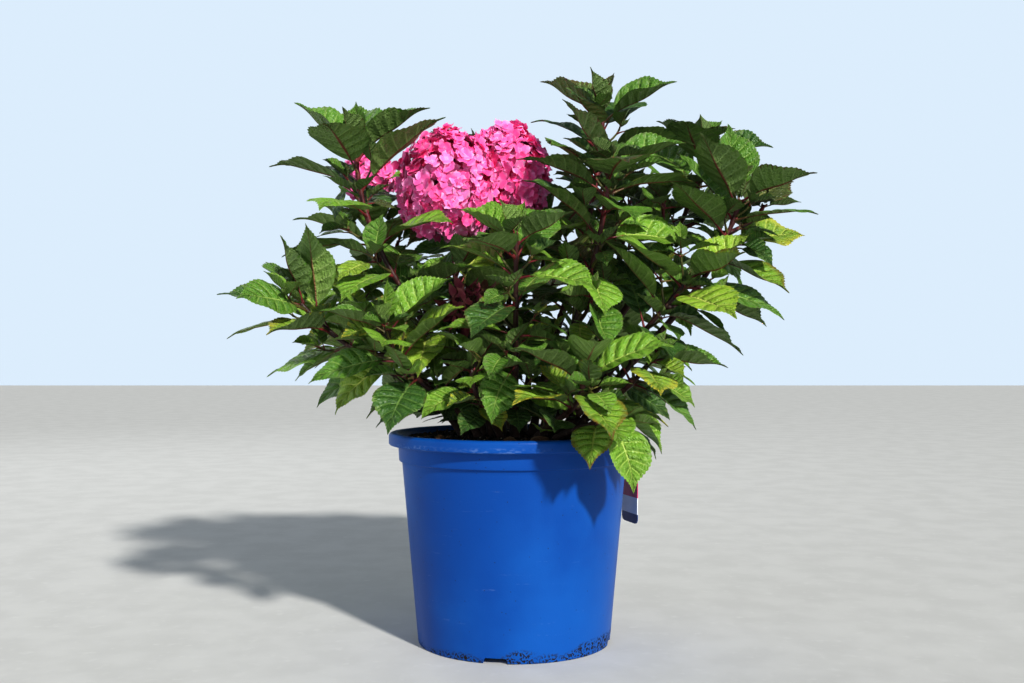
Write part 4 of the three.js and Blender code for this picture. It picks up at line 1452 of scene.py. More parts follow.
@dataclass
class Foliage:
    """All the leaves, dealt their colourings and joined by the part of the crown they are in.

    highland, middle and lowland hold the shares of the colourings at heights in the crown, and shaded those
    of the small low leaves inside it, mostly the deep tint as painted shade.
    finishes are the upper skins in the order of Tint, and then the two lower ones.
    """

    form: BladeForm = BladeForm()
    high: float = 470.0
    low: float = 370.0
    young_sizes: Pair = (24.0, 17.0)
    tiny: float = 27.0
    under: int = 7
    under_pale: int = 8
    highland: tuple[float, ...] = (0.05, 0.35, 0.36, 0.0, 0.22, 0.0, 0.02)
    middle: tuple[float, ...] = (0.24, 0.36, 0.22, 0.08, 0.04, 0.04, 0.02)
    lowland: tuple[float, ...] = (0.36, 0.28, 0.1, 0.12, 0.0, 0.09, 0.05)
    shaded: tuple[float, ...] = (0.04, 0.16, 0.74, 0.02, 0.0, 0.03, 0.01)
    finishes: tuple[LeafFinish, ...] = (
        LeafFinish("leaf_fresh", (0.175, 0.375, 0.03), (0.42, 0.56, 0.12), (0.22, 0.36, 0.04)),
        LeafFinish("leaf_green", (0.098, 0.25, 0.024), (0.3, 0.44, 0.1), (0.14, 0.22, 0.03)),
        LeafFinish("leaf_deep", (0.038, 0.115, 0.017), (0.15, 0.26, 0.06), (0.09, 0.1, 0.02)),
        LeafFinish("leaf_lime", (0.27, 0.46, 0.035), (0.56, 0.64, 0.15), (0.4, 0.42, 0.05)),
        LeafFinish("leaf_bronze", (0.07, 0.11, 0.022), (0.18, 0.2, 0.06), (0.12, 0.045, 0.02), 0.25),
        LeafFinish("leaf_yellowed", (0.2, 0.37, 0.03), (0.5, 0.58, 0.11), (0.54, 0.46, 0.05), 0.45),
        LeafFinish("leaf_brown_tipped", (0.18, 0.36, 0.03), (0.42, 0.52, 0.1), (0.2, 0.07, 0.018), 0.3),
        LeafFinish("leaf_under", (0.15, 0.245, 0.06), (0.25, 0.36, 0.12), (0.14, 0.16, 0.05), 0.05,
                   (0.2, 0.03, 0.03), 0.045, 0.55, -0.0014, 0.8, 0.7),
        LeafFinish("leaf_under_pale", (0.23, 0.38, 0.08), (0.36, 0.5, 0.16), (0.2, 0.27, 0.06), 0.05,
                   (0.34, 0.14, 0.08), 0.04, 0.55, -0.0014, 0.8, 0.74),
    )

    def tint_of(self, leaf: Leaf) -> Tint:
        """Deals a leaf its colouring by its height and stage.

        Args:
            leaf: the leaf.

        Returns:
            Its colouring.
        """
        height = float(leaf.plan.node.point[2])
        if leaf.plan.stage < 1:
            if height < self.high:
                return Tint.FRESH
            return Tint.BRONZE if chance(*leaf.plan.key, 61) < 0.6 else Tint.GREEN
        shares = self.middle
        # Small low leaves inside the crown take mostly the deep tint: painted shade.
        if leaf.plan.key[1] == LOW_BRANCH:
            shares = self.shaded
        elif height > self.high:
            shares = self.highland
        elif height < self.low:
            shares = self.lowland
        draw = chance(*leaf.plan.key, 62)
        for tint, share in zip(Tint, shares):
            draw -= share
            if draw < 0:
                return tint
        return Tint.GREEN

    def young_leaves(self, growth: Growth) -> list[Leaf]:
        """Gives the folded leaves that are opening at the tips of limbs.

        Args:
            growth: a shoot's growth.

        Returns:
            Two pairs for each limb that doesn't end in a flower head.
        """
        limbs = [growth.cane] if growth.shoot.head is None else []
        made = []
        for number, limb in enumerate(limbs + growth.twigs + growth.sprigs):
            thin = 0.6 if limb in growth.sprigs else 1.0
            for pair, size in enumerate(self.young_sizes):
                for side in (0, 1):
                    key = (growth.index, TIP_BRANCH + number, pair, side)
                    made.append(Leaf(LeafPlan(
                        key, 0, limb.at(limb.length), limb.length,
                        phase=growth.shoot.phase + 90 + pair * 90 + side * 180,
                        spread=15 - pair * 6 + jitter(5, *key, 1),
                        droop=-10 + jitter(6, *key, 2),
                        roll=jitter(12, *key, 3),
                        full=size * thin,
                    )))
        return made

    def build(self, plant: Plant) -> None:
        """Makes a piece of foliage for each part of the crown.

        Args:
            plant: the grown plant.
        """
        materials = [finish.build() for finish in self.finishes]
        for region in Region:
            pile = MeshPile()
            growths = [growth for growth in plant.growths if growth.shoot.region is region]
            large = [leaf for growth in growths for leaf in growth.leaves]
            small = [leaf for growth in growths for leaf in growth.small + self.young_leaves(growth)]
            sets = ((large, LARGE), ([leaf for leaf in small if leaf.length > self.tiny], SMALL),
                    ([leaf for leaf in small if leaf.length <= self.tiny], TINY))
            for leaves, grid in sets:
                for tint in Tint:
                    same = [leaf for leaf in leaves if self.tint_of(leaf) is tint]
                    under = self.under_pale if tint in (Tint.LIME, Tint.FRESH) else self.under
                    self.form.add(pile, same, grid, tint.value, under)
            piece = pile.build(f"foliage_{region.value}", materials)
            hand_over(piece, [f"leaves_{growth.shoot.name}" for growth in growths])


@dataclass
class YoungStems:
    """The soft upper stems, side twigs, petioles and buds."""

    ring_gap: float = 6.0
    sides: int = 8
    sprig_sides: int = 6
    node_swell: float = 0.85
    node_reach: float = 3.2
    petiole_radius: float = 1.55
    petiole_sides: int = 6
    large: float = 50.0
    finishes: tuple[BarkFinish, ...] = (
        # stem_red runs from near-black low in the crown to red higher up: partly the older stem's darker
        # colour, partly painted shade of the leaves above.
        BarkFinish("stem_red", (0.04, 0.011, 0.009), (0.2, 0.02, 0.03), (0.3, 0.14, 0.1), 0.44, 0.62,
                   0.42),
        BarkFinish("stem_green", (0.09, 0.07, 0.022), (0.12, 0.12, 0.03), (0.24, 0.24, 0.1), 0.25, 0.5,
                   0.45),
        BarkFinish("petiole_red", (0.12, 0.016, 0.016), (0.26, 0.028, 0.036), (0.36, 0.12, 0.1), 0.3,
                   0.55, 0.4),
        BarkFinish("petiole_green", (0.17, 0.17, 0.035), (0.19, 0.1, 0.04), (0.32, 0.32, 0.12), 0.3,
                   0.55, 0.42),
    )

    def build(self, plant: Plant) -> None:
        """Makes the stems.

        Args:
            plant: the grown plant.
        """
        pile = MeshPile()
        for growth in plant.growths:
            nodes = {round(leaf.plan.distance, 1) for leaf in growth.leaves if leaf.plan.key[1] == 0}
            self.add_limb(pile, growth.cane, growth.joint - 3, sorted(nodes), self.sides, 0)
            for twig in growth.twigs:
                self.add_limb(pile, twig, 0.0, [4.0, twig.length - 6], self.sides, 0)
            for sprig in growth.sprigs:
                self.add_limb(pile, sprig, 0.0, [3.0], self.sprig_sides, 1)
            for leaf in growth.leaves + growth.small:
                self.add_petiole(pile, leaf)
                if leaf in growth.leaves:
                    self.add_bud(pile, leaf)
        piece = pile.build("young_stems", [finish.build() for finish in self.finishes])
        hand_over(piece, [f"leaves_{growth.shoot.name}" for growth in plant.growths])

    def add_limb(self, pile: MeshPile, limb: Limb, start: float, nodes: Sequence[float], sides: int,
                 slot: int) -> None:
        """Adds a limb that swells at its nodes and ends in a rounded tip.

        Args:
            pile: the mesh that it joins.
            limb: the limb.
            start: how far from its foot it starts.
            nodes: the nodes' distances from its foot.
            sides: how many sides it has.
            slot: the number of its material.
        """
        count = max(4, round((limb.length - start) / self.ring_gap))
        distances = np.linspace(start, limb.length, count + 1)
        points, ways, radii = limb.along(distances)
        for node in nodes:
            radii = radii + self.node_swell * np.exp(-(((distances - node) / self.node_reach) ** 2))
        points = np.concatenate([points, [points[-1] + ways[-1] * 1.5]])
        add_tube(pile, points, np.concatenate([radii, [radii[-1] * 0.6]]), sides, slot)

    def add_petiole(self, pile: MeshPile, leaf: Leaf) -> None:
        """Adds a petiole that clasps the stem and runs on a little under the blade.

        Args:
            pile: the mesh that it joins.
            leaf: its leaf.
        """
        large = leaf.length > self.large
        share = np.linspace(0.0, 1.0, 8 if large else 5)
        end = (leaf.petiole + leaf.length * 0.1) / leaf.total
        line, even = BladeForm.weights(share * end)
        base = leaf.petiole / leaf.total / end
        size = self.petiole_radius * min(1.0, 0.35 + leaf.length / 130)
        radii = size * (1 + 0.55 * np.exp(-((share / 0.12) ** 2)) - 0.45 * share)
        radii = radii * (1 - 0.5 * smooth(share, base, 1.0))
        lower = (radii * 0.75 * smooth(share, base * 0.7, 1.0))[:, None]
        points = line @ leaf.place - unit(even @ leaf.normal) * lower
        red = chance(*leaf.plan.key, 71) < (0.8 if large else 0.4)
        add_tube(pile, points, radii, self.petiole_sides if large else 5, 2 if red else 3)

    def add_bud(self, pile: MeshPile, leaf: Leaf) -> None:
        """Adds the small bud in a leaf's axil.

        Args:
            pile: the mesh that it joins.
            leaf: the leaf.
        """
        node = leaf.plan.node
        out = out_of(node.way, leaf.plan.phase)
        way = unit(node.way + out * 0.45)
        size = 3.5 + 2.5 * chance(*leaf.plan.key, 72)
        share = np.array([0.0, 0.25, 0.6, 0.9])
        points = node.point + out * (node.radius * 0.8) + way * (2.0 + share[:, None] * size)
        add_tube(pile, points, np.array([0.9, 1.35, 1.1, 0.35]), 6, 2)


@dataclass
class Canes:
    """The woody canes, with the relief of their bark."""

    ring_gap: float = 3.0
    sides: int = 16
    flare: float = 1.45
    flare_reach: float = 6.0
    relief: float = 0.055
    node_gap: float = 37.0
    node_swell: float = 0.7
    node_reach: float = 2.6
    sunk: float = 2.5

    def build(self, plant: Plant) -> None:
        """Makes the canes.

        Args:
            plant: the grown plant.
        """
        pile = MeshPile()
        turns = around(self.sides)
        for index, growth in enumerate(plant.growths):
            distances = np.linspace(0.0, growth.joint, max(8, round(growth.joint / self.ring_gap)) + 1)
            points, _, radii = growth.cane.along(distances)
            radii = radii * (1 + (self.flare - 1) * np.exp(-distances / self.flare_reach))
            for node in np.arange(20 + 14 * chance(index, 81), growth.joint, self.node_gap):
                radii = radii + self.node_swell * np.exp(-(((distances - node) / self.node_reach) ** 2))
            rough = [[noise.noise(Vector((7 * math.cos(turn), 7 * math.sin(turn), far * 0.11 + index * 9.7)))
                      for turn in turns] for far in distances]
            points[0, 2] -= self.sunk
            add_tube(pile, points, radii[:, None] * (1 + self.relief * np.array(rough) * 2), self.sides, 0)
        bark = BarkFinish("cane_bark", (0.06, 0.034, 0.023), (0.06, 0.016, 0.013), (0.2, 0.14, 0.1), 0.25,
                          0.42, 0.72, 60.0, 190.0)
        piece = pile.build("canes", [bark.build()])
        hand_over(piece, [f"cane_{growth.shoot.name}" for growth in plant.growths])


class ScatterTree(NodeTree):
    """A Geometry Nodes tree that sets copies of a shape on points and makes them real."""

    def __init__(self, name: str) -> None:
        """Starts a tree with a geometry input and output."""
        super().__init__(bpy.data.node_groups.new(name, "GeometryNodeTree"))
        self.sockets: dict[str, str] = {}
        for way in ("INPUT", "OUTPUT"):
            self.tree.interface.new_socket("Geometry", in_out=way, socket_type="NodeSocketGeometry")
        self.source = self.node("NodeGroupInput")
        self.sink = self.node("NodeGroupOutput")

    def number(self, name: str, kind: str = "NodeSocketFloat") -> Socket:
        """Adds a named input and returns its socket inside the tree."""
        made = self.tree.interface.new_socket(name, in_out="INPUT", socket_type=kind)
        self.sockets[name] = made.identifier
        return self.source.outputs[name]

    @staticmethod
    def shown(node: bpy.types.Node) -> Socket:
        """Returns the first output that a node shows for its kind of data."""
        return next(out for out in node.outputs if out.enabled)

    def attribute(self, name: str, kind: str) -> Socket:
        """Returns a named attribute's output."""
        return self.shown(self.node("GeometryNodeInputNamedAttribute", {"Name": name}, data_type=kind))

    def finish(self, shape: Object, stand: dict[str, Socket],
               dress: Sequence[tuple[Material, Union[bool, Socket]]]) -> None:
        """Sets copies of a shape on points, makes them real and dresses them.

        Args:
            shape: the object that is copied.
            stand: the points, and the copies' rotation and scale.
            dress: materials, each with the output that picks its faces, or True for all.
        """
        info = self.node("GeometryNodeObjectInfo", {"Object": shape})
        copies = self.node("GeometryNodeInstanceOnPoints", {**stand, "Instance": info.outputs["Geometry"]})
        last = self.node("GeometryNodeRealizeInstances", {"Geometry": copies.outputs["Instances"]})
        for material, pick in dress:
            inputs = {"Geometry": last.outputs["Geometry"], "Selection": pick, "Material": material}
            last = self.node("GeometryNodeSetMaterial", inputs)
        self.feed(self.sink.inputs["Geometry"], last.outputs["Geometry"])

    def apply(self, base: Object, name: str, values: dict[str, float]) -> Object:
        """Runs the tree on an object and keeps the result as a plain mesh.

        Args:
            base: the object that it works on, which is removed.
            name: the new object's name.
            values: the named inputs.

        Returns:
            The new object.
        """
        modifier = base.modifiers.new("scatter", "NODES")
        modifier.node_group = self.tree
        for key, value in values.items():
            modifier[self.sockets[key]] = value
        return made_real(name, base)


def point_cloud(name: str, points: Array, fields: dict[str, Array]) -> Object:
    """Makes an object of loose points with attributes.

    Args:
        name: the object's name.
        points: the points in millimetres.
        fields: numbers, whole numbers or vectors for each point.

    Returns:
        The object.
    """
    mesh = bpy.data.meshes.new(name)
    mesh.vertices.add(len(points))
    mesh.vertices.foreach_set("co", (points * MM).astype(np.float32).ravel())
    for key, values in fields.items():
        kind, part = "INT" if values.dtype.kind == "i" else "FLOAT", "value"
        if values.ndim == 2:
            kind, part = "FLOAT_VECTOR", "vector"
        mesh.attributes.new(key, kind, "POINT").data.foreach_set(part, values.ravel())
    return linked(name, mesh)


@dataclass(frozen=True)
class FloretForm:
    """A floret of four petals and a button, as shares of a petal's length."""

    rows: tuple[float, ...]
    halves: tuple[float, ...]
    tip: float
    cup: float
    sag: float
    stagger: float = 0.05
    skin: float = 0.03
    twist: float = 0.14
    button: tuple[float, float, float, float] = (0.11, 0.07, -0.04, 0.14)
    button_sides: int = 6

    def build(self, name: str) -> Object:
        """Makes the shape that is copied.

        Args:
            name: the object's name.

        Returns:
            The floret, facing up, with petals one metre long.
        """
        pile = MeshPile()
        for petal in range(4):
            self.add_petal(pile, petal)
        radius, middle, low, high = self.button
        ring = (level(turn) * radius + UP * middle for turn in around(self.button_sides))
        points = [*ring, UP * low, UP * high]
        pile.add(np.array(points) / MM, [(ring_faces(1, self.button_sides)[1], 0)])
        return pile.build(name)

    def add_petal(self, pile: MeshPile, petal: int) -> None:
        """Adds one petal, closed between its two skins.

        Args:
            pile: the mesh that it joins.
            petal: its number.
        """
        columns = np.array([-1.0, 0.0, 1.0])
        rows = np.array(self.rows)[:, None] + np.zeros(3)
        rows[-1, 1] = self.tip
        half = np.array(self.halves)[:, None] * columns
        height = self.cup * rows**2 - self.sag * np.abs(columns) * rows + self.stagger * (petal % 2)
        height = height + self.twist * (0.7 + 0.3 * (petal % 3)) * columns * rows
        turn = petal * math.pi / 2 + 0.12 * (petal % 2)
        c, s = math.cos(turn), math.sin(turn)
        grid = np.stack([rows * c - half * s, rows * s + half * c, height], axis=-1)
        chart = np.stack([rows, np.broadcast_to(columns * 0.5 + 0.5, rows.shape)], -1)
        count = len(self.rows)
        top = np.arange(count * 3).reshape(count, 3)
        low = top.copy()
        low[1:-1, 1] = count * 3 + np.arange(count - 2)
        groups = []
        for skin, order in ((top, -1), (low, 1)):
            quads = np.stack([skin[:-1, :-1], skin[:-1, 1:], skin[1:, 1:], skin[1:, :-1]], -1)
            groups.append((quads.reshape(-1, 4)[:, ::order], 0))
        points = np.concatenate([grid.reshape(-1, 3), grid[1:-1, 1] - UP * self.skin])
        rim = np.ones(len(points), bool)
        rim[top[1:-1, 1]] = False
        rim[count * 3 :] = False
        pile.add(points / MM, groups, np.concatenate([chart.reshape(-1, 2), chart[1:-1, 1]]), rim)


@dataclass
class FlowerHead:
    """A mophead: florets crowded over a lumpy dome, with deeper ones and their stalks inside it.

    petal is a petal's length on a head of the usual radius, and outer and inner are the florets' numbers
    there. names are the shoots that end in such a head.
    """

    names: tuple[str, ...] = ("head_left", "head_right", "head_back")
    petal: float = 8.9
    petal_growth: float = 0.1
    usual_radius: float = 56.0
    size_spread: float = 0.28
    outer: int = 400
    inner: int = 130
    inner_depth: float = 0.82
    lowest: float = -0.84
    tilt: float = 0.52
    pedicels: int = 60
    overlap: float = 3.0
    form: FloretForm = FloretForm((0.06, 0.33, 0.62, 0.86, 1.0), (0.1, 0.4, 0.6, 0.47, 0.13), 1.13, 0.26,
                                  0.05, 0.05)
    finishes: tuple[PetalFinish, ...] = (
        PetalFinish("petal_light", (1.0, 0.26, 0.63), (1.0, 0.17, 0.5), (1.0, 0.58, 0.85)),
        PetalFinish("petal_pink", (1.0, 0.16, 0.51), (1.0, 0.1, 0.39), (1.0, 0.37, 0.72)),
        PetalFinish("petal_deep", (1.0, 0.09, 0.37), (0.96, 0.05, 0.26), (1.0, 0.25, 0.55)),
        # petal_inner, a darker pink, goes to the florets deep in the head: painted shade.
        PetalFinish("petal_inner", (0.95, 0.035, 0.21), (0.78, 0.02, 0.14), (1.0, 0.13, 0.36)),
    )

    def tree(self, shape: Object) -> ScatterTree:
        """Makes the node tree that sets florets on points.

        Args:
            shape: the floret.

        Returns:
            The tree, with the petal's length as an input. The points' tints choose the materials.
        """
        made = ScatterTree("florets")
        length = made.number("Petal length")
        grow = made.node("ShaderNodeMath", {0: made.attribute("grow", "FLOAT"), 1: length},
                         operation="MULTIPLY")
        facing = made.node("FunctionNodeAlignRotationToVector",
                           {"Vector": made.attribute("facing", "FLOAT_VECTOR")}, axis="Z")
        turn = made.node("FunctionNodeAxisAngleToRotation",
                         {"Axis": (0.0, 0.0, 1.0), "Angle": made.attribute("turn", "FLOAT")})
        spun = made.node("FunctionNodeRotateRotation",
                         {"Rotation": facing.outputs[0], "Rotate By": turn.outputs[0]},
                         rotation_space="LOCAL")
        tint = made.attribute("tint", "INT")
        dress = []
        for number, finish in enumerate(self.finishes):
            same = made.node("FunctionNodeCompare", {2: tint, 3: number}, data_type="INT",
                             operation="EQUAL")
            dress.append((finish.build(), same.outputs["Result"]))
        stand = {"Points": made.source.outputs["Geometry"], "Rotation": spun.outputs[0],
                 "Scale": grow.outputs[0]}
        made.finish(shape, stand, dress)
        return made

    def cloud(self, head: Head, heads: Sequence[Head]) -> Object:
        """Deals the florets' points over a head.

        Args:
            head: the head.
            heads: all heads, whose florets meet at a seam where two press on each other.

        Returns:
            The points with their facing, turn, growth and tint.
        """
        scale = float(head.radii.mean()) / self.usual_radius
        places, facings, turns, grows, tints = [], [], [], [], []
        seams = [self.seam(head, other) for other in heads if other is not head]
        for layer, total in enumerate((round(self.outer * scale**2), round(self.inner * scale**2))):
            for k in range(total):
                z = 1 - (1 - self.lowest) * (k + 0.5) / total
                angle = k * GOLDEN_TURN + jitter(0.16, head.index, k, 91 + layer)
                out = level(angle) * math.sqrt(1 - z * z) + UP * z
                lumps = 0.13 * noise.noise(Vector(out * 3.4) + Vector((head.index * 3.1, 0, 0)))
                depth = (1.0, self.inner_depth)[layer] + lumps + jitter(0.07, head.index, k, 93 + layer)
                place = out * head.radii * depth
                if any(float(place @ normal) > offset for normal, offset in seams):
                    continue
                lean = [jitter(self.tilt, head.index, k, 95 + layer + i * 7) for i in range(3)]
                places.append(place + head.centre)
                facings.append(unit(unit(out / head.radii) + np.array(lean) + UP * 0.12))
                turns.append(6.28 * chance(head.index, k, 97 + layer))
                grows.append(1 + jitter(self.size_spread, head.index, k, 99 + layer))
                draw = chance(head.index, k, 101)
                # The inner layer always takes the last and darkest finish: painted shade deep in the head.
                tints.append((0 if draw < 0.3 else 1 if draw < 0.78 else 2) if layer == 0 else 3)
        return point_cloud("floret_points", np.array(places), {
            "facing": np.array(facings), "turn": np.array(turns), "grow": np.array(grows),
            "tint": np.array(tints, np.int32)})

    def seam(self, head: Head, other: Head) -> tuple[Array, float]:
        """Works out the plane where two heads meet.

        Args:
            head: the first.
            other: the other.

        Returns:
            Its normal, and its distance from the first's centre.
        """
        apart = other.centre - head.centre
        normal = unit(apart)
        mine = float(np.linalg.norm(normal * head.radii))
        theirs = float(np.linalg.norm(normal * other.radii))
        return normal, float(np.linalg.norm(apart)) * mine / (mine + theirs) - self.overlap

    def stalks(self, head: Head) -> Object:
        """Makes a head's stalk and the branches that carry its florets.

        Args:
            head: the head.

        Returns:
            The object.
        """
        pile = MeshPile()
        points, _, radii = head.stalk.along(np.linspace(0, head.stalk.length * 0.8, 8))
        add_tube(pile, points, radii, 8, 0)
        share = np.linspace(0, 1, 6)[:, None]
        for k in range(self.pedicels):
            z = 1 - 1.7 * (k + 0.5) / self.pedicels
            out = level(k * GOLDEN_TURN) * math.sqrt(1 - z * z) + UP * z
            foot = head.stalk.at(head.stalk.length * (0.45 + 0.3 * chance(head.index, k, 111))).point
            tip = head.centre + out * head.radii * 0.86
            middle = (foot + tip) / 2 - UP * 4
            line = (1 - share) ** 2 * foot + 2 * share * (1 - share) * middle + share**2 * tip
            add_tube(pile, line, np.linspace(1.3, 0.6, 6), 5, 0)
        stem = BarkFinish("flower_stalk", (0.2, 0.12, 0.06), (0.3, 0.1, 0.08), (0.4, 0.3, 0.2), 0.3, 0.6, 0.5)
        return pile.build(f"stalks_{SHOOTS[head.index].name}", [stem.build()])

    def build(self, plant: Plant) -> None:
        """Makes the heads that it names.

        Args:
            plant: the grown plant.
        """
        shape = self.form.build("floret_shape")
        tree = self.tree(shape)
        heads = [head for head in plant.heads if SHOOTS[head.index].name in self.names]
        for head in heads:
            name = SHOOTS[head.index].name
            growth = 1 + self.petal_growth * (float(head.radii.mean()) / self.usual_radius - 1)
            values = {"Petal length": self.petal * MM * growth}
            hand_over(tree.apply(self.cloud(head, heads), f"florets_{name}", values),
                      [f"bloom_{name}"])
            hand_over(self.stalks(head), [f"bloom_{name}"])
        bpy.data.objects.remove(shape)


@dataclass
class FadedHead(FlowerHead):
    """Last season's small head: a few shrunken star florets on a branched stalk."""

    names: tuple[str, ...] = ("faded",)
    petal: float = 16.0
    petal_growth: float = 0.0
    size_spread: float = 0.3
    outer: int = 92
    inner: int = 24
    tilt: float = 0.8
    pedicels: int = 26
    form: FloretForm = FloretForm((0.08, 0.4, 0.72, 0.95), (0.06, 0.22, 0.22, 0.1), 1.1, 0.4, 0.16)
    finishes: tuple[PetalFinish, ...] = (
        PetalFinish("faded_rose", (0.42, 0.075, 0.12), (0.26, 0.035, 0.06), (0.46, 0.17, 0.14)),
        PetalFinish("faded_wine", (0.27, 0.03, 0.06), (0.15, 0.018, 0.035), (0.3, 0.09, 0.08)),
        PetalFinish("faded_brown", (0.2, 0.07, 0.05), (0.11, 0.035, 0.025), (0.25, 0.13, 0.08)),
        # faded_dark, near black, goes to the inner florets: partly the dried colour, partly painted shade.
        PetalFinish("faded_dark", (0.1, 0.014, 0.026), (0.06, 0.01, 0.016), (0.12, 0.04, 0.035)),
    )


def arc(middle: Pair, radius: float, start: float, end: float,
        steps: int) -> list[Pair]:
    """Lists points of an arc in a profile.

    Args:
        middle: its centre, as radius and height.
        radius: its radius.
        start: its first angle in degrees.
        end: its last angle in degrees.
        steps: how many stretches it has.

    Returns:
        Its points, as radius and height.
    """
    angles = [math.radians(start + (end - start) * i / steps) for i in range(steps + 1)]
    return [(middle[0] + radius * math.cos(a), middle[1] + radius * math.sin(a)) for a in angles]


def turned(name: str, profile: Sequence[Pair], sides: int) -> Object:
    """Turns a profile that starts and ends on the axis into a closed object.

    Args:
        name: the object's name.
        profile: its points as radius and height, from the bottom's middle outwards and round.
        sides: how many sides it has.

    Returns:
        The object.
    """
    inner = np.array(profile[1:-1])
    turns = around(sides)
    x, y = inner[:, :1] * np.cos(turns), inner[:, :1] * np.sin(turns)
    points = np.stack([x, y, np.broadcast_to(inner[:, 1:], x.shape)], axis=-1).reshape(-1, 3)
    quads, ends = ring_faces(len(inner), sides)
    pile = MeshPile()
    pile.add(np.concatenate([points, [UP * profile[0][1], UP * profile[-1][1]]]), [(quads, 0), (ends, 0)])
    return pile.build(name)


@dataclass
class PlasticPot:
    """The nursery pot: rolled lip, band, step, tapering wall, ribbed underside and drain notches."""

    height: float = 233.0
    rim_radius: float = 140.0
    lip_foot: float = 220.0
    lip_round: float = 3.5
    lip_inner: float = 131.0
    band_top: float = 129.7
    band_foot: float = 128.6
    step_height: float = 202.0
    wall_top: float = 125.4
    foot_radius: float = 107.3
    wall: float = 2.3
    floor: float = 7.0
    recess: float = 4.2
    hub: float = 22.0
    ring: float = 10.0
    rib_angle: float = 12.0
    notches: int = 4
    notch_width: float = 27.0
    notch_height: float = 6.0
    first_notch: float = -100.5
    sides: int = 160
    recess_sides: int = 14
    sharp_from: float = 40.0

    def profile(self) -> list[Pair]:
        """Lists the wall's outline, outside and in.

        Returns:
            Its points, as radius and height.
        """
        r, step, lip, top = self.lip_round, self.step_height, self.lip_foot, self.height
        slope = (self.wall_top - self.foot_radius) / step
        return [
            (0.0, 0.0), (self.hub, 0.0), (self.foot_radius - self.ring, 0.0),
            *arc((self.foot_radius - 1.4, 1.4), 1.4, -90, 0, 4),
            *((self.foot_radius + slope * z, z) for z in (14, 30, 60, 90, 120, 150, 180, 196)),
            (self.wall_top - 0.1, step - 1.2), (self.wall_top + 0.5, step - 0.3),
            *arc((self.band_foot - 1.1, step + 1.1), 1.1, -90, 0, 4),
            (self.band_foot + 0.35, step + 6), (self.band_top - 0.3, lip - 4),
            (self.band_top + 0.1, lip - 1), (self.band_top + 0.9, lip),
            *arc((self.rim_radius - 1.8, lip + 1.8), 1.8, -90, 0, 4),
            (self.rim_radius, lip + 5),
            *arc((self.rim_radius - r, top - r), r, 0, 90, 6),
            *arc((self.lip_inner + 1.2, top - 1.2), 1.2, 90, 150, 3),
            (self.band_top - self.wall + 0.6, top - r + 0.4), (self.band_top - self.wall, top - r - 1),
            (self.band_foot - self.wall, step + 2), (self.wall_top - self.wall, step - 2),
            (self.foot_radius - self.wall + 3.0, self.floor + 20),
            *arc((self.foot_radius - self.wall - 2.4, self.floor + 3), 3.0, 0, -90, 3),
            (0.0, self.floor),
        ]

    def recess_cutter(self, heading: float) -> Object:
        """Makes the hollow under the floor between two ribs.

        Args:
            heading: its middle, in degrees.

        Returns:
            The object that cuts it out.
        """
        half = (360 / self.notches - self.rib_angle) / 2
        angles = np.radians(np.linspace(heading - half, heading + half, self.recess_sides + 1))
        outline = [level(a) * (self.foot_radius - self.ring) - UP for a in angles]
        outline += [level(a) * self.hub - UP for a in angles[::-1]]
        return self.prism("recess", outline, UP * (self.recess + 1))

    def notch_cutter(self, heading: float) -> Object:
        """Makes the drain opening through the foot ring.

        Args:
            heading: its place, in degrees.

        Returns:
            The object that cuts it out.
        """
        out = level(math.radians(heading))
        side = np.cross(UP, out)
        half, top = self.notch_width / 2, self.notch_height
        start = out * (self.foot_radius - self.ring * 1.2)
        shape = ((-half, -1.0), (half, -1.0), (half - 1.0, top - 2.5), (half - 3.0, top), (3.0 - half, top),
                 (1.0 - half, top - 2.5))
        return self.prism("notch", [start + side * a + UP * z for a, z in shape], out * self.ring * 2)

    @staticmethod
    def prism(name: str, outline: Sequence[Array], path: Array) -> Object:
        """Pushes an outline along a path.

        Args:
            name: the object's name.
            outline: the outline's points.
            path: how far it goes.

        Returns:
            The closed object.
        """
        shape = bmesh.new()
        face = shape.faces.new([shape.verts.new(point * MM) for point in outline])
        pushed = bmesh.ops.extrude_face_region(shape, geom=[face])
        moved = [item for item in pushed["geom"] if isinstance(item, bmesh.types.BMVert)]
        bmesh.ops.translate(shape, verts=moved, vec=Vector(path * MM))
        bmesh.ops.recalc_face_normals(shape, faces=shape.faces)
        return from_bmesh(name, shape)

    def build(self) -> None:
        """Makes the pot."""
        blank = turned("nursery_pot_blank", self.profile(), self.sides)
        cutters = []
        for i in range(self.notches):
            heading = self.first_notch + i * 360 / self.notches
            cutters += [self.recess_cutter(heading), self.notch_cutter(heading)]
        for cutter in cutters:
            cut = blank.modifiers.new("cut", "BOOLEAN")
            cut.operation, cut.solver, cut.object = "DIFFERENCE", "EXACT", cutter
        piece = made_real("nursery_pot", blank)
        for cutter in cutters:
            bpy.data.objects.remove(cutter)
        piece.data.materials.clear()
        piece.data.materials.append(PlasticFinish().build())
        piece.data.set_sharp_from_angle(angle=math.radians(self.sharp_from))
        hand_over(piece, ["pot"])


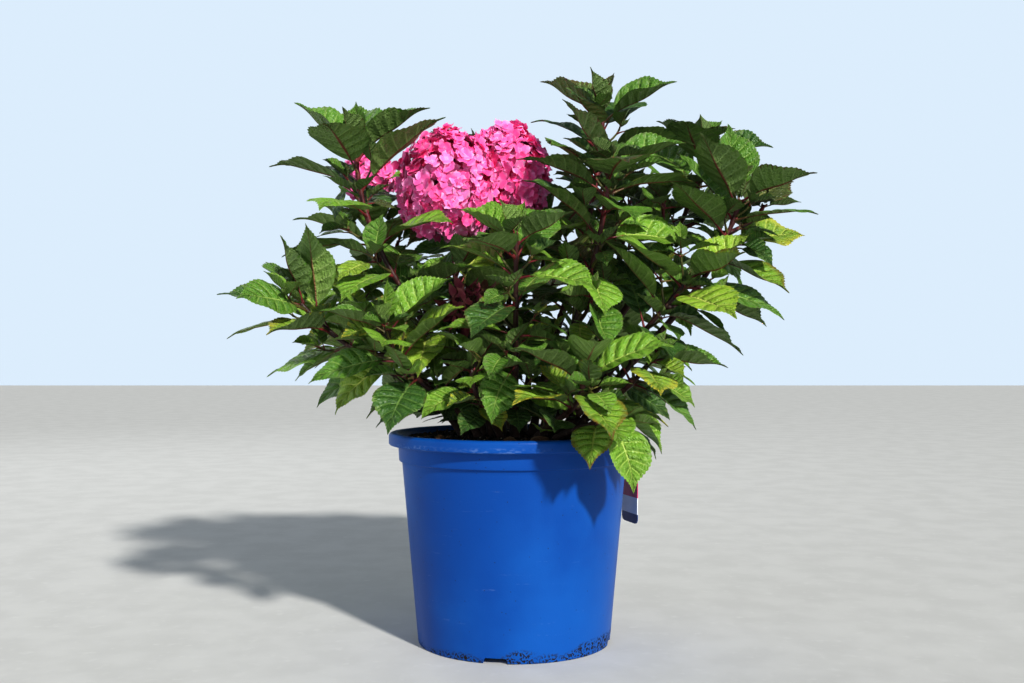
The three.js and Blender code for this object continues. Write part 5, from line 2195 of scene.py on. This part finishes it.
@dataclass
class Compost:
    """The compost: a lumpy mound with crumbs, pale grains, bits of bark and a few dry leaves on it.

    crumbs, grains and chips are numbers to a square metre.
    """

    top: float = 229.0
    edge: float = 225.5
    wall_radius: float = 126.5
    bend: Pair = (123.0, 200.0)
    foot: Pair = (105.0, 7.3)
    swell: float = 2.6
    rings: int = 46
    sides: int = 120
    crumbs: float = 42000.0
    grains: float = 2600.0
    chips: float = 3200.0
    dry: tuple[tuple[float, float, float, float], ...] = (
        (-6, -98, 20, 28), (30, -92, 150, 30), (-74, -66, 250, 30), (62, 20, 80, 36), (-20, 88, 310, 38))

    def height(self, x: float, y: float) -> float:
        """Works out the mound's height at a place.

        Args:
            x: the place's x.
            y: the place's y.

        Returns:
            The height.
        """
        far = np.array(math.hypot(x, y))
        base = self.top - (self.top - self.edge) * float(smooth(far, 60, self.wall_radius))
        lumps = noise.fractal(Vector((x * 0.045, y * 0.045, 3.3)), 1.0, 2.0, 4)
        return base + self.swell * lumps * (1 - float(smooth(far, 108, self.wall_radius)))

    def surface(self, name: str, closed: bool) -> Object:
        """Makes the mound.

        Args:
            name: the object's name.
            closed: whether it goes on down the pot's wall to its floor.

        Returns:
            The object.
        """
        radii = self.wall_radius * np.linspace(0, 1, self.rings + 1)[1:]
        turns = around(self.sides)
        rings = [[(r * math.cos(a), r * math.sin(a)) for a in turns] for r in radii]
        points = [(x, y, self.height(x, y)) for ring in rings for x, y in ring]
        lower = (self.bend, self.foot) if closed else ()
        points += [(r * math.cos(a), r * math.sin(a), z) for r, z in lower for a in turns]
        points.append((0.0, 0.0, self.height(0, 0)))
        quads, ends = ring_faces(self.rings + len(lower), self.sides)
        if closed:
            points.append((0.0, 0.0, self.foot[1]))
        else:
            ends = ends[: self.sides]
        pile = MeshPile()
        pile.add(np.array(points), [(quads[:, [0, 3, 2, 1]], 0), (ends[:, [0, 2, 1]], 0)])
        return pile.build(name)

    def lump(self, name: str, size: Triple, seed: int) -> Object:
        """Makes a rough lump of a few dozen faces, for scattering.

        Args:
            name: the object's name.
            size: its half sizes in metres.
            seed: what makes it differ from the others.

        Returns:
            The object.
        """
        shape = bmesh.new()
        bmesh.ops.create_icosphere(shape, subdivisions=1, radius=1.0)
        for vert in shape.verts:
            bump = 1 + 0.35 * noise.noise(vert.co * 1.7 + Vector((seed, 0, 0)))
            vert.co = Vector(c * bump * s for c, s in zip(vert.co, size))
        return from_bmesh(name, shape)

    def scatter(self, name: str, shape: Object, finish: Material, density: float, seed: int,
                spread: Pair) -> None:
        """Scatters lumps over the mound.

        Args:
            name: the new piece's name.
            shape: the lump, which is removed.
            finish: its material.
            density: how many there are to a square metre.
            seed: the draw of places and turns.
            spread: the smallest and largest share of the lump's size.
        """
        made = ScatterTree(name)
        thick = made.number("Lumps to a square metre")
        small, large = made.number("Smallest share"), made.number("Largest share")
        draw = made.number("Seed", "NodeSocketInt")
        points = made.node("GeometryNodeDistributePointsOnFaces", {
            "Mesh": made.source.outputs["Geometry"], "Density": thick, "Seed": draw})
        turn = made.node("FunctionNodeRandomValue", {1: (6.283,) * 3, "Seed": draw}, data_type="FLOAT_VECTOR")
        size = made.node("FunctionNodeRandomValue", {2: small, 3: large, "Seed": draw}, data_type="FLOAT")
        stand = {"Points": points.outputs["Points"], "Rotation": made.shown(turn), "Scale": made.shown(size)}
        made.finish(shape, stand, [(finish, True)])
        piece = made.apply(self.surface(f"{name}_bed", closed=False), name, {
            "Lumps to a square metre": density, "Smallest share": spread[0], "Largest share": spread[1],
            "Seed": seed})
        bpy.data.objects.remove(shape)
        hand_over(piece, ["soil"])

    def build(self) -> None:
        """Makes the compost and what lies on it."""
        earth = GrainFinish("compost_dark", (0.006, 0.0045, 0.0035), (0.02, 0.013, 0.008),
                            (0.05, 0.034, 0.02), 130.0).build()
        bark = GrainFinish("bark_bits", (0.02, 0.011, 0.006), (0.07, 0.04, 0.02), (0.16, 0.1, 0.05), 240.0)
        grain = GrainFinish("pale_grains", (0.25, 0.21, 0.13), (0.4, 0.36, 0.24), (0.6, 0.56, 0.42), 300.0)
        mound = self.surface("compost", closed=True)
        mound.data.materials.append(earth)
        hand_over(mound, ["soil"])
        sets = (
            ("crumbs", (0.0022, 0.0018, 0.0014), earth, self.crumbs, (0.5, 1.5)),
            ("bark_chips", (0.0045, 0.0016, 0.0011), bark.build(), self.chips, (0.5, 1.35)),
            ("pale_bits", (0.0016, 0.0014, 0.0012), grain.build(), self.grains, (0.5, 1.2)),
        )
        for seed, (name, size, finish, density, spread) in enumerate(sets):
            self.scatter(name, self.lump(f"{name}_shape", size, seed), finish, density, seed + 5, spread)
        self.dry_leaves()

    def dry_leaves(self) -> None:
        """Lays a few curled dry leaves on the compost."""
        pile = MeshPile()
        form = BladeForm(young_fold=0.0, old_fold=34.0, quilt=0.02)
        for number, (x, y, heading, size) in enumerate(self.dry):
            way = level(math.radians(heading))
            node = Station(np.array([x, y, self.height(x, y) + 2.5]) - way * size * 0.5, way, 1.0)
            leaf = Leaf(LeafPlan((900 + number, 1, 1, 1), 4, node, 0.0, 90.0, 12.0, 14.0, 18.0, size))
            form.add(pile, [leaf], SMALL, 0, 0)
            line, _ = form.weights(np.linspace(0, 0.24, 6))
            add_tube(pile, line @ leaf.place, np.full(6, 0.8), 6, 0)
        dry = LeafFinish("leaf_dry", (0.15, 0.07, 0.028), (0.26, 0.15, 0.07), (0.3, 0.2, 0.1), 0.2, None,
                         0.05, 0.75, 0.0012, 0.5, 0.55)
        hand_over(pile.build("dry_leaves", [dry.build()]), ["soil"])


@dataclass
class CareLabel:
    """The bare care label: a thin strap over the lip that widens into a plate in three plain bands."""

    azimuth: float = 18.0
    thick: float = 1.0
    strap: float = 16.0
    plate: float = 44.0
    plate_top: float = 200.0
    plate_foot: float = 125.0
    hang: float = 142.0
    inner: float = 125.2
    inside: float = 227.5
    bands: Pair = (155.0, 136.0)
    sharp_from: float = 40.0
    finishes: tuple[GrainFinish, ...] = (
        GrainFinish("label_rose", (0.52, 0.02, 0.11), (0.6, 0.03, 0.14), (0.68, 0.05, 0.18), 60.0, 0.4,
                    0.0002),
        GrainFinish("label_white", (0.72, 0.74, 0.77), (0.8, 0.82, 0.84), (0.86, 0.87, 0.88), 60.0, 0.4,
                    0.0002),
        GrainFinish("label_navy", (0.012, 0.035, 0.14), (0.018, 0.05, 0.18), (0.03, 0.07, 0.22), 60.0,
                    0.4, 0.0002),
    )

    def line(self) -> Array:
        """Draws the label's middle line, from inside the lip to its foot.

        Returns:
            Rows of a radius, a height and half the width there.
        """
        half, wide, far = self.strap / 2, self.plate / 2, self.hang - 0.5
        over = [(self.inner + 0.6, self.inside), (self.inner + 0.6, 231.5),
                *arc((self.inner + 2.6, 232.2), 2.0, 180, 90, 4),
                *arc((self.hang - 3.0, 231.6), 2.6, 90, 0, 4)]
        down = [(214.0, half), (self.plate_top + 2, half), (self.plate_top - 3.5, wide - 3),
                (self.plate_top - 8, wide), (self.bands[0], wide), (self.bands[1], wide),
                (self.plate_foot + 5, wide), (self.plate_foot + 1.2, wide - 2.5), (self.plate_foot, wide - 7)]
        return np.array([(r, z, half) for r, z in over] + [(far, z, h) for z, h in down])

    def build(self) -> None:
        """Makes the label."""
        out = level(math.radians(self.azimuth))
        side = np.cross(UP, out)
        line = self.line()
        middle = out * line[:, :1] + UP * line[:, 1:2]
        offset = np.cross(side, unit(np.gradient(middle, axis=0))) * (self.thick / 2)
        left, right = middle - side * line[:, 2:], middle + side * line[:, 2:]
        rows = np.stack([left - offset, right - offset, right + offset, left + offset], axis=1)
        quads = ring_faces(len(line), 4)[0].reshape(-1, 4, 4)
        low = line[1:, 1]
        slots = np.where(low < self.bands[1], 2, np.where(low < self.bands[0], 1, 0))
        outside = (line[1:, 0] > self.inner + 6) & (low < self.plate_top + 1)
        slots = np.where(outside, slots, 1)
        groups = [(quads[slots == slot].reshape(-1, 4), slot) for slot in range(3)]
        groups.append((np.array([[3, 2, 1, 0]]), 1))
        groups.append((np.arange(4)[None] + (len(line) - 1) * 4, 2))
        pile = MeshPile()
        pile.add(rows.reshape(-1, 3), groups)
        piece = pile.build("care_label_plain", [finish.build() for finish in self.finishes])
        shape = bmesh.new()
        shape.from_mesh(piece.data)
        bmesh.ops.recalc_face_normals(shape, faces=shape.faces)
        shape.to_mesh(piece.data)
        shape.free()
        piece.data.set_sharp_from_angle(angle=math.radians(self.sharp_from))
        hand_over(piece, ["care_label"])


@dataclass(frozen=True)
class Lamp:
    """A soft lamp: where it stands, its size in metres, its power and its colour."""

    name: str
    place: Triple
    size: float
    power: float
    colour: Colour


@dataclass
class Studio:
    """The camera at the photograph's place, a pale floor and even light from the upper right front."""

    eye: Triple = (0.0, -1.3, 0.326)
    focal: float = 40.64
    sensor: float = 36.0
    shift: Pair = (-0.002, 0.0072)
    reach: Pair = (0.05, 60.0)
    floor_half: float = 9.0
    sky_low: float = 1.0
    sky_high: float = 0.2
    sky_edges: Pair = (0.3, 0.45)
    sky: Colour = (0.745, 0.865, 0.985)
    sun_from: Triple = (0.43, -0.75, 0.53)
    sun_width: float = 4.0
    sun_power: float = 4.5
    sun_colour: Colour = (1.0, 0.965, 0.9)
    gamma: float = 0.88
    aim: Triple = (0.0, 0.0, 0.3)
    lamps: tuple[Lamp, ...] = (
        Lamp("fill", (-2.2, -2.0, 1.4), 2.4, 9.0, (0.9, 0.95, 1.0)),
        Lamp("rim", (-1.3, 2.1, 2.2), 1.6, 14.0, (0.96, 0.98, 1.0)),
    )

    def camera(self) -> None:
        """Sets the camera up."""
        data = bpy.data.cameras.new("camera")
        data.lens, data.sensor_width = self.focal, self.sensor
        data.shift_x, data.shift_y = self.shift
        data.clip_start, data.clip_end = self.reach
        made = linked("camera", data)
        made.location = self.eye
        made.rotation_euler = Euler((math.radians(90), 0.0, 0.0))
        bpy.context.scene.camera = made

    def floor(self) -> None:
        """Lays the floor."""
        pile = MeshPile()
        half = self.floor_half / MM
        corners = np.array([[-half, -half, 0], [half, -half, 0], [half, half, 0], [-half, half, 0]])
        pile.add(corners, [(np.array([[0, 1, 2, 3]]), 0)])
        stone = GrainFinish("floor_pale", (0.58, 0.58, 0.57), (0.62, 0.62, 0.61), (0.66, 0.66, 0.65), 14.0,
                            0.85, 0.0006)
        pile.build("floor", [stone.build()])

    def light(self) -> None:
        """Sets the lamps and the sky."""
        for lamp in self.lamps:
            data = bpy.data.lights.new(lamp.name, "AREA")
            data.shape, data.size, data.energy, data.color = "DISK", lamp.size, lamp.power, lamp.colour
            self.hang(data, Vector(lamp.place), Vector(self.aim) - Vector(lamp.place))
        sun = bpy.data.lights.new("key", "SUN")
        sun.energy, sun.color, sun.angle = self.sun_power, self.sun_colour, math.radians(self.sun_width)
        self.hang(sun, Vector(self.sun_from), -Vector(self.sun_from))
        self.backdrop()
        bpy.context.scene.view_settings.view_transform = "Standard"
        bpy.context.scene.view_settings.gamma = self.gamma

    @staticmethod
    def hang(light: bpy.types.Light, place: Vector, aim: Vector) -> None:
        """Hangs a light at a place, shining along a line."""
        made = linked(light.name, light)
        made.location = place
        made.rotation_euler = aim.to_track_quat("-Z", "Y").to_euler()

    def backdrop(self) -> None:
        """Makes the sky: pale in a low band all round, and dimmer overhead."""
        world = bpy.data.worlds.new("sky")
        world.use_nodes = True
        tree = NodeTree(world.node_tree)
        place = tree.node("ShaderNodeTexCoord").outputs["Generated"]
        low, high = self.sky_edges
        glow = tree.node("ShaderNodeMapRange", {
            "Value": tree.node("ShaderNodeSeparateXYZ", {"Vector": place}).outputs["Z"],
            "From Min": low, "From Max": high, "To Min": self.sky_low, "To Max": self.sky_high,
        }, interpolation_type="SMOOTHSTEP")
        shade = world.node_tree.nodes["Background"]
        tree.feed(shade.inputs["Color"], self.sky)
        tree.feed(shade.inputs["Strength"], glow.outputs["Result"])
        bpy.context.scene.world = world

    def build(self) -> None:
        """Makes the studio."""
        self.camera()
        self.floor()
        self.light()


def write_size() -> None:
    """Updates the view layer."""
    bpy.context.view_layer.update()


def main() -> None:
    """Builds the studio, the pot and the plant, in order."""
    logging.basicConfig(level=logging.INFO, format="%(message)s", stream=sys.stdout)
    Studio().build()
    plant = Plant()
    LOG.info("leaves: %d large, %d small", sum(len(g.leaves) for g in plant.growths),
             sum(len(g.small) for g in plant.growths))
    PlasticPot().build()
    Compost().build()
    CareLabel().build()
    Canes().build(plant)
    YoungStems().build(plant)
    Foliage().build(plant)
    FlowerHead().build(plant)
    FadedHead().build(plant)
    write_size()


if __name__ == "__main__":
    main()
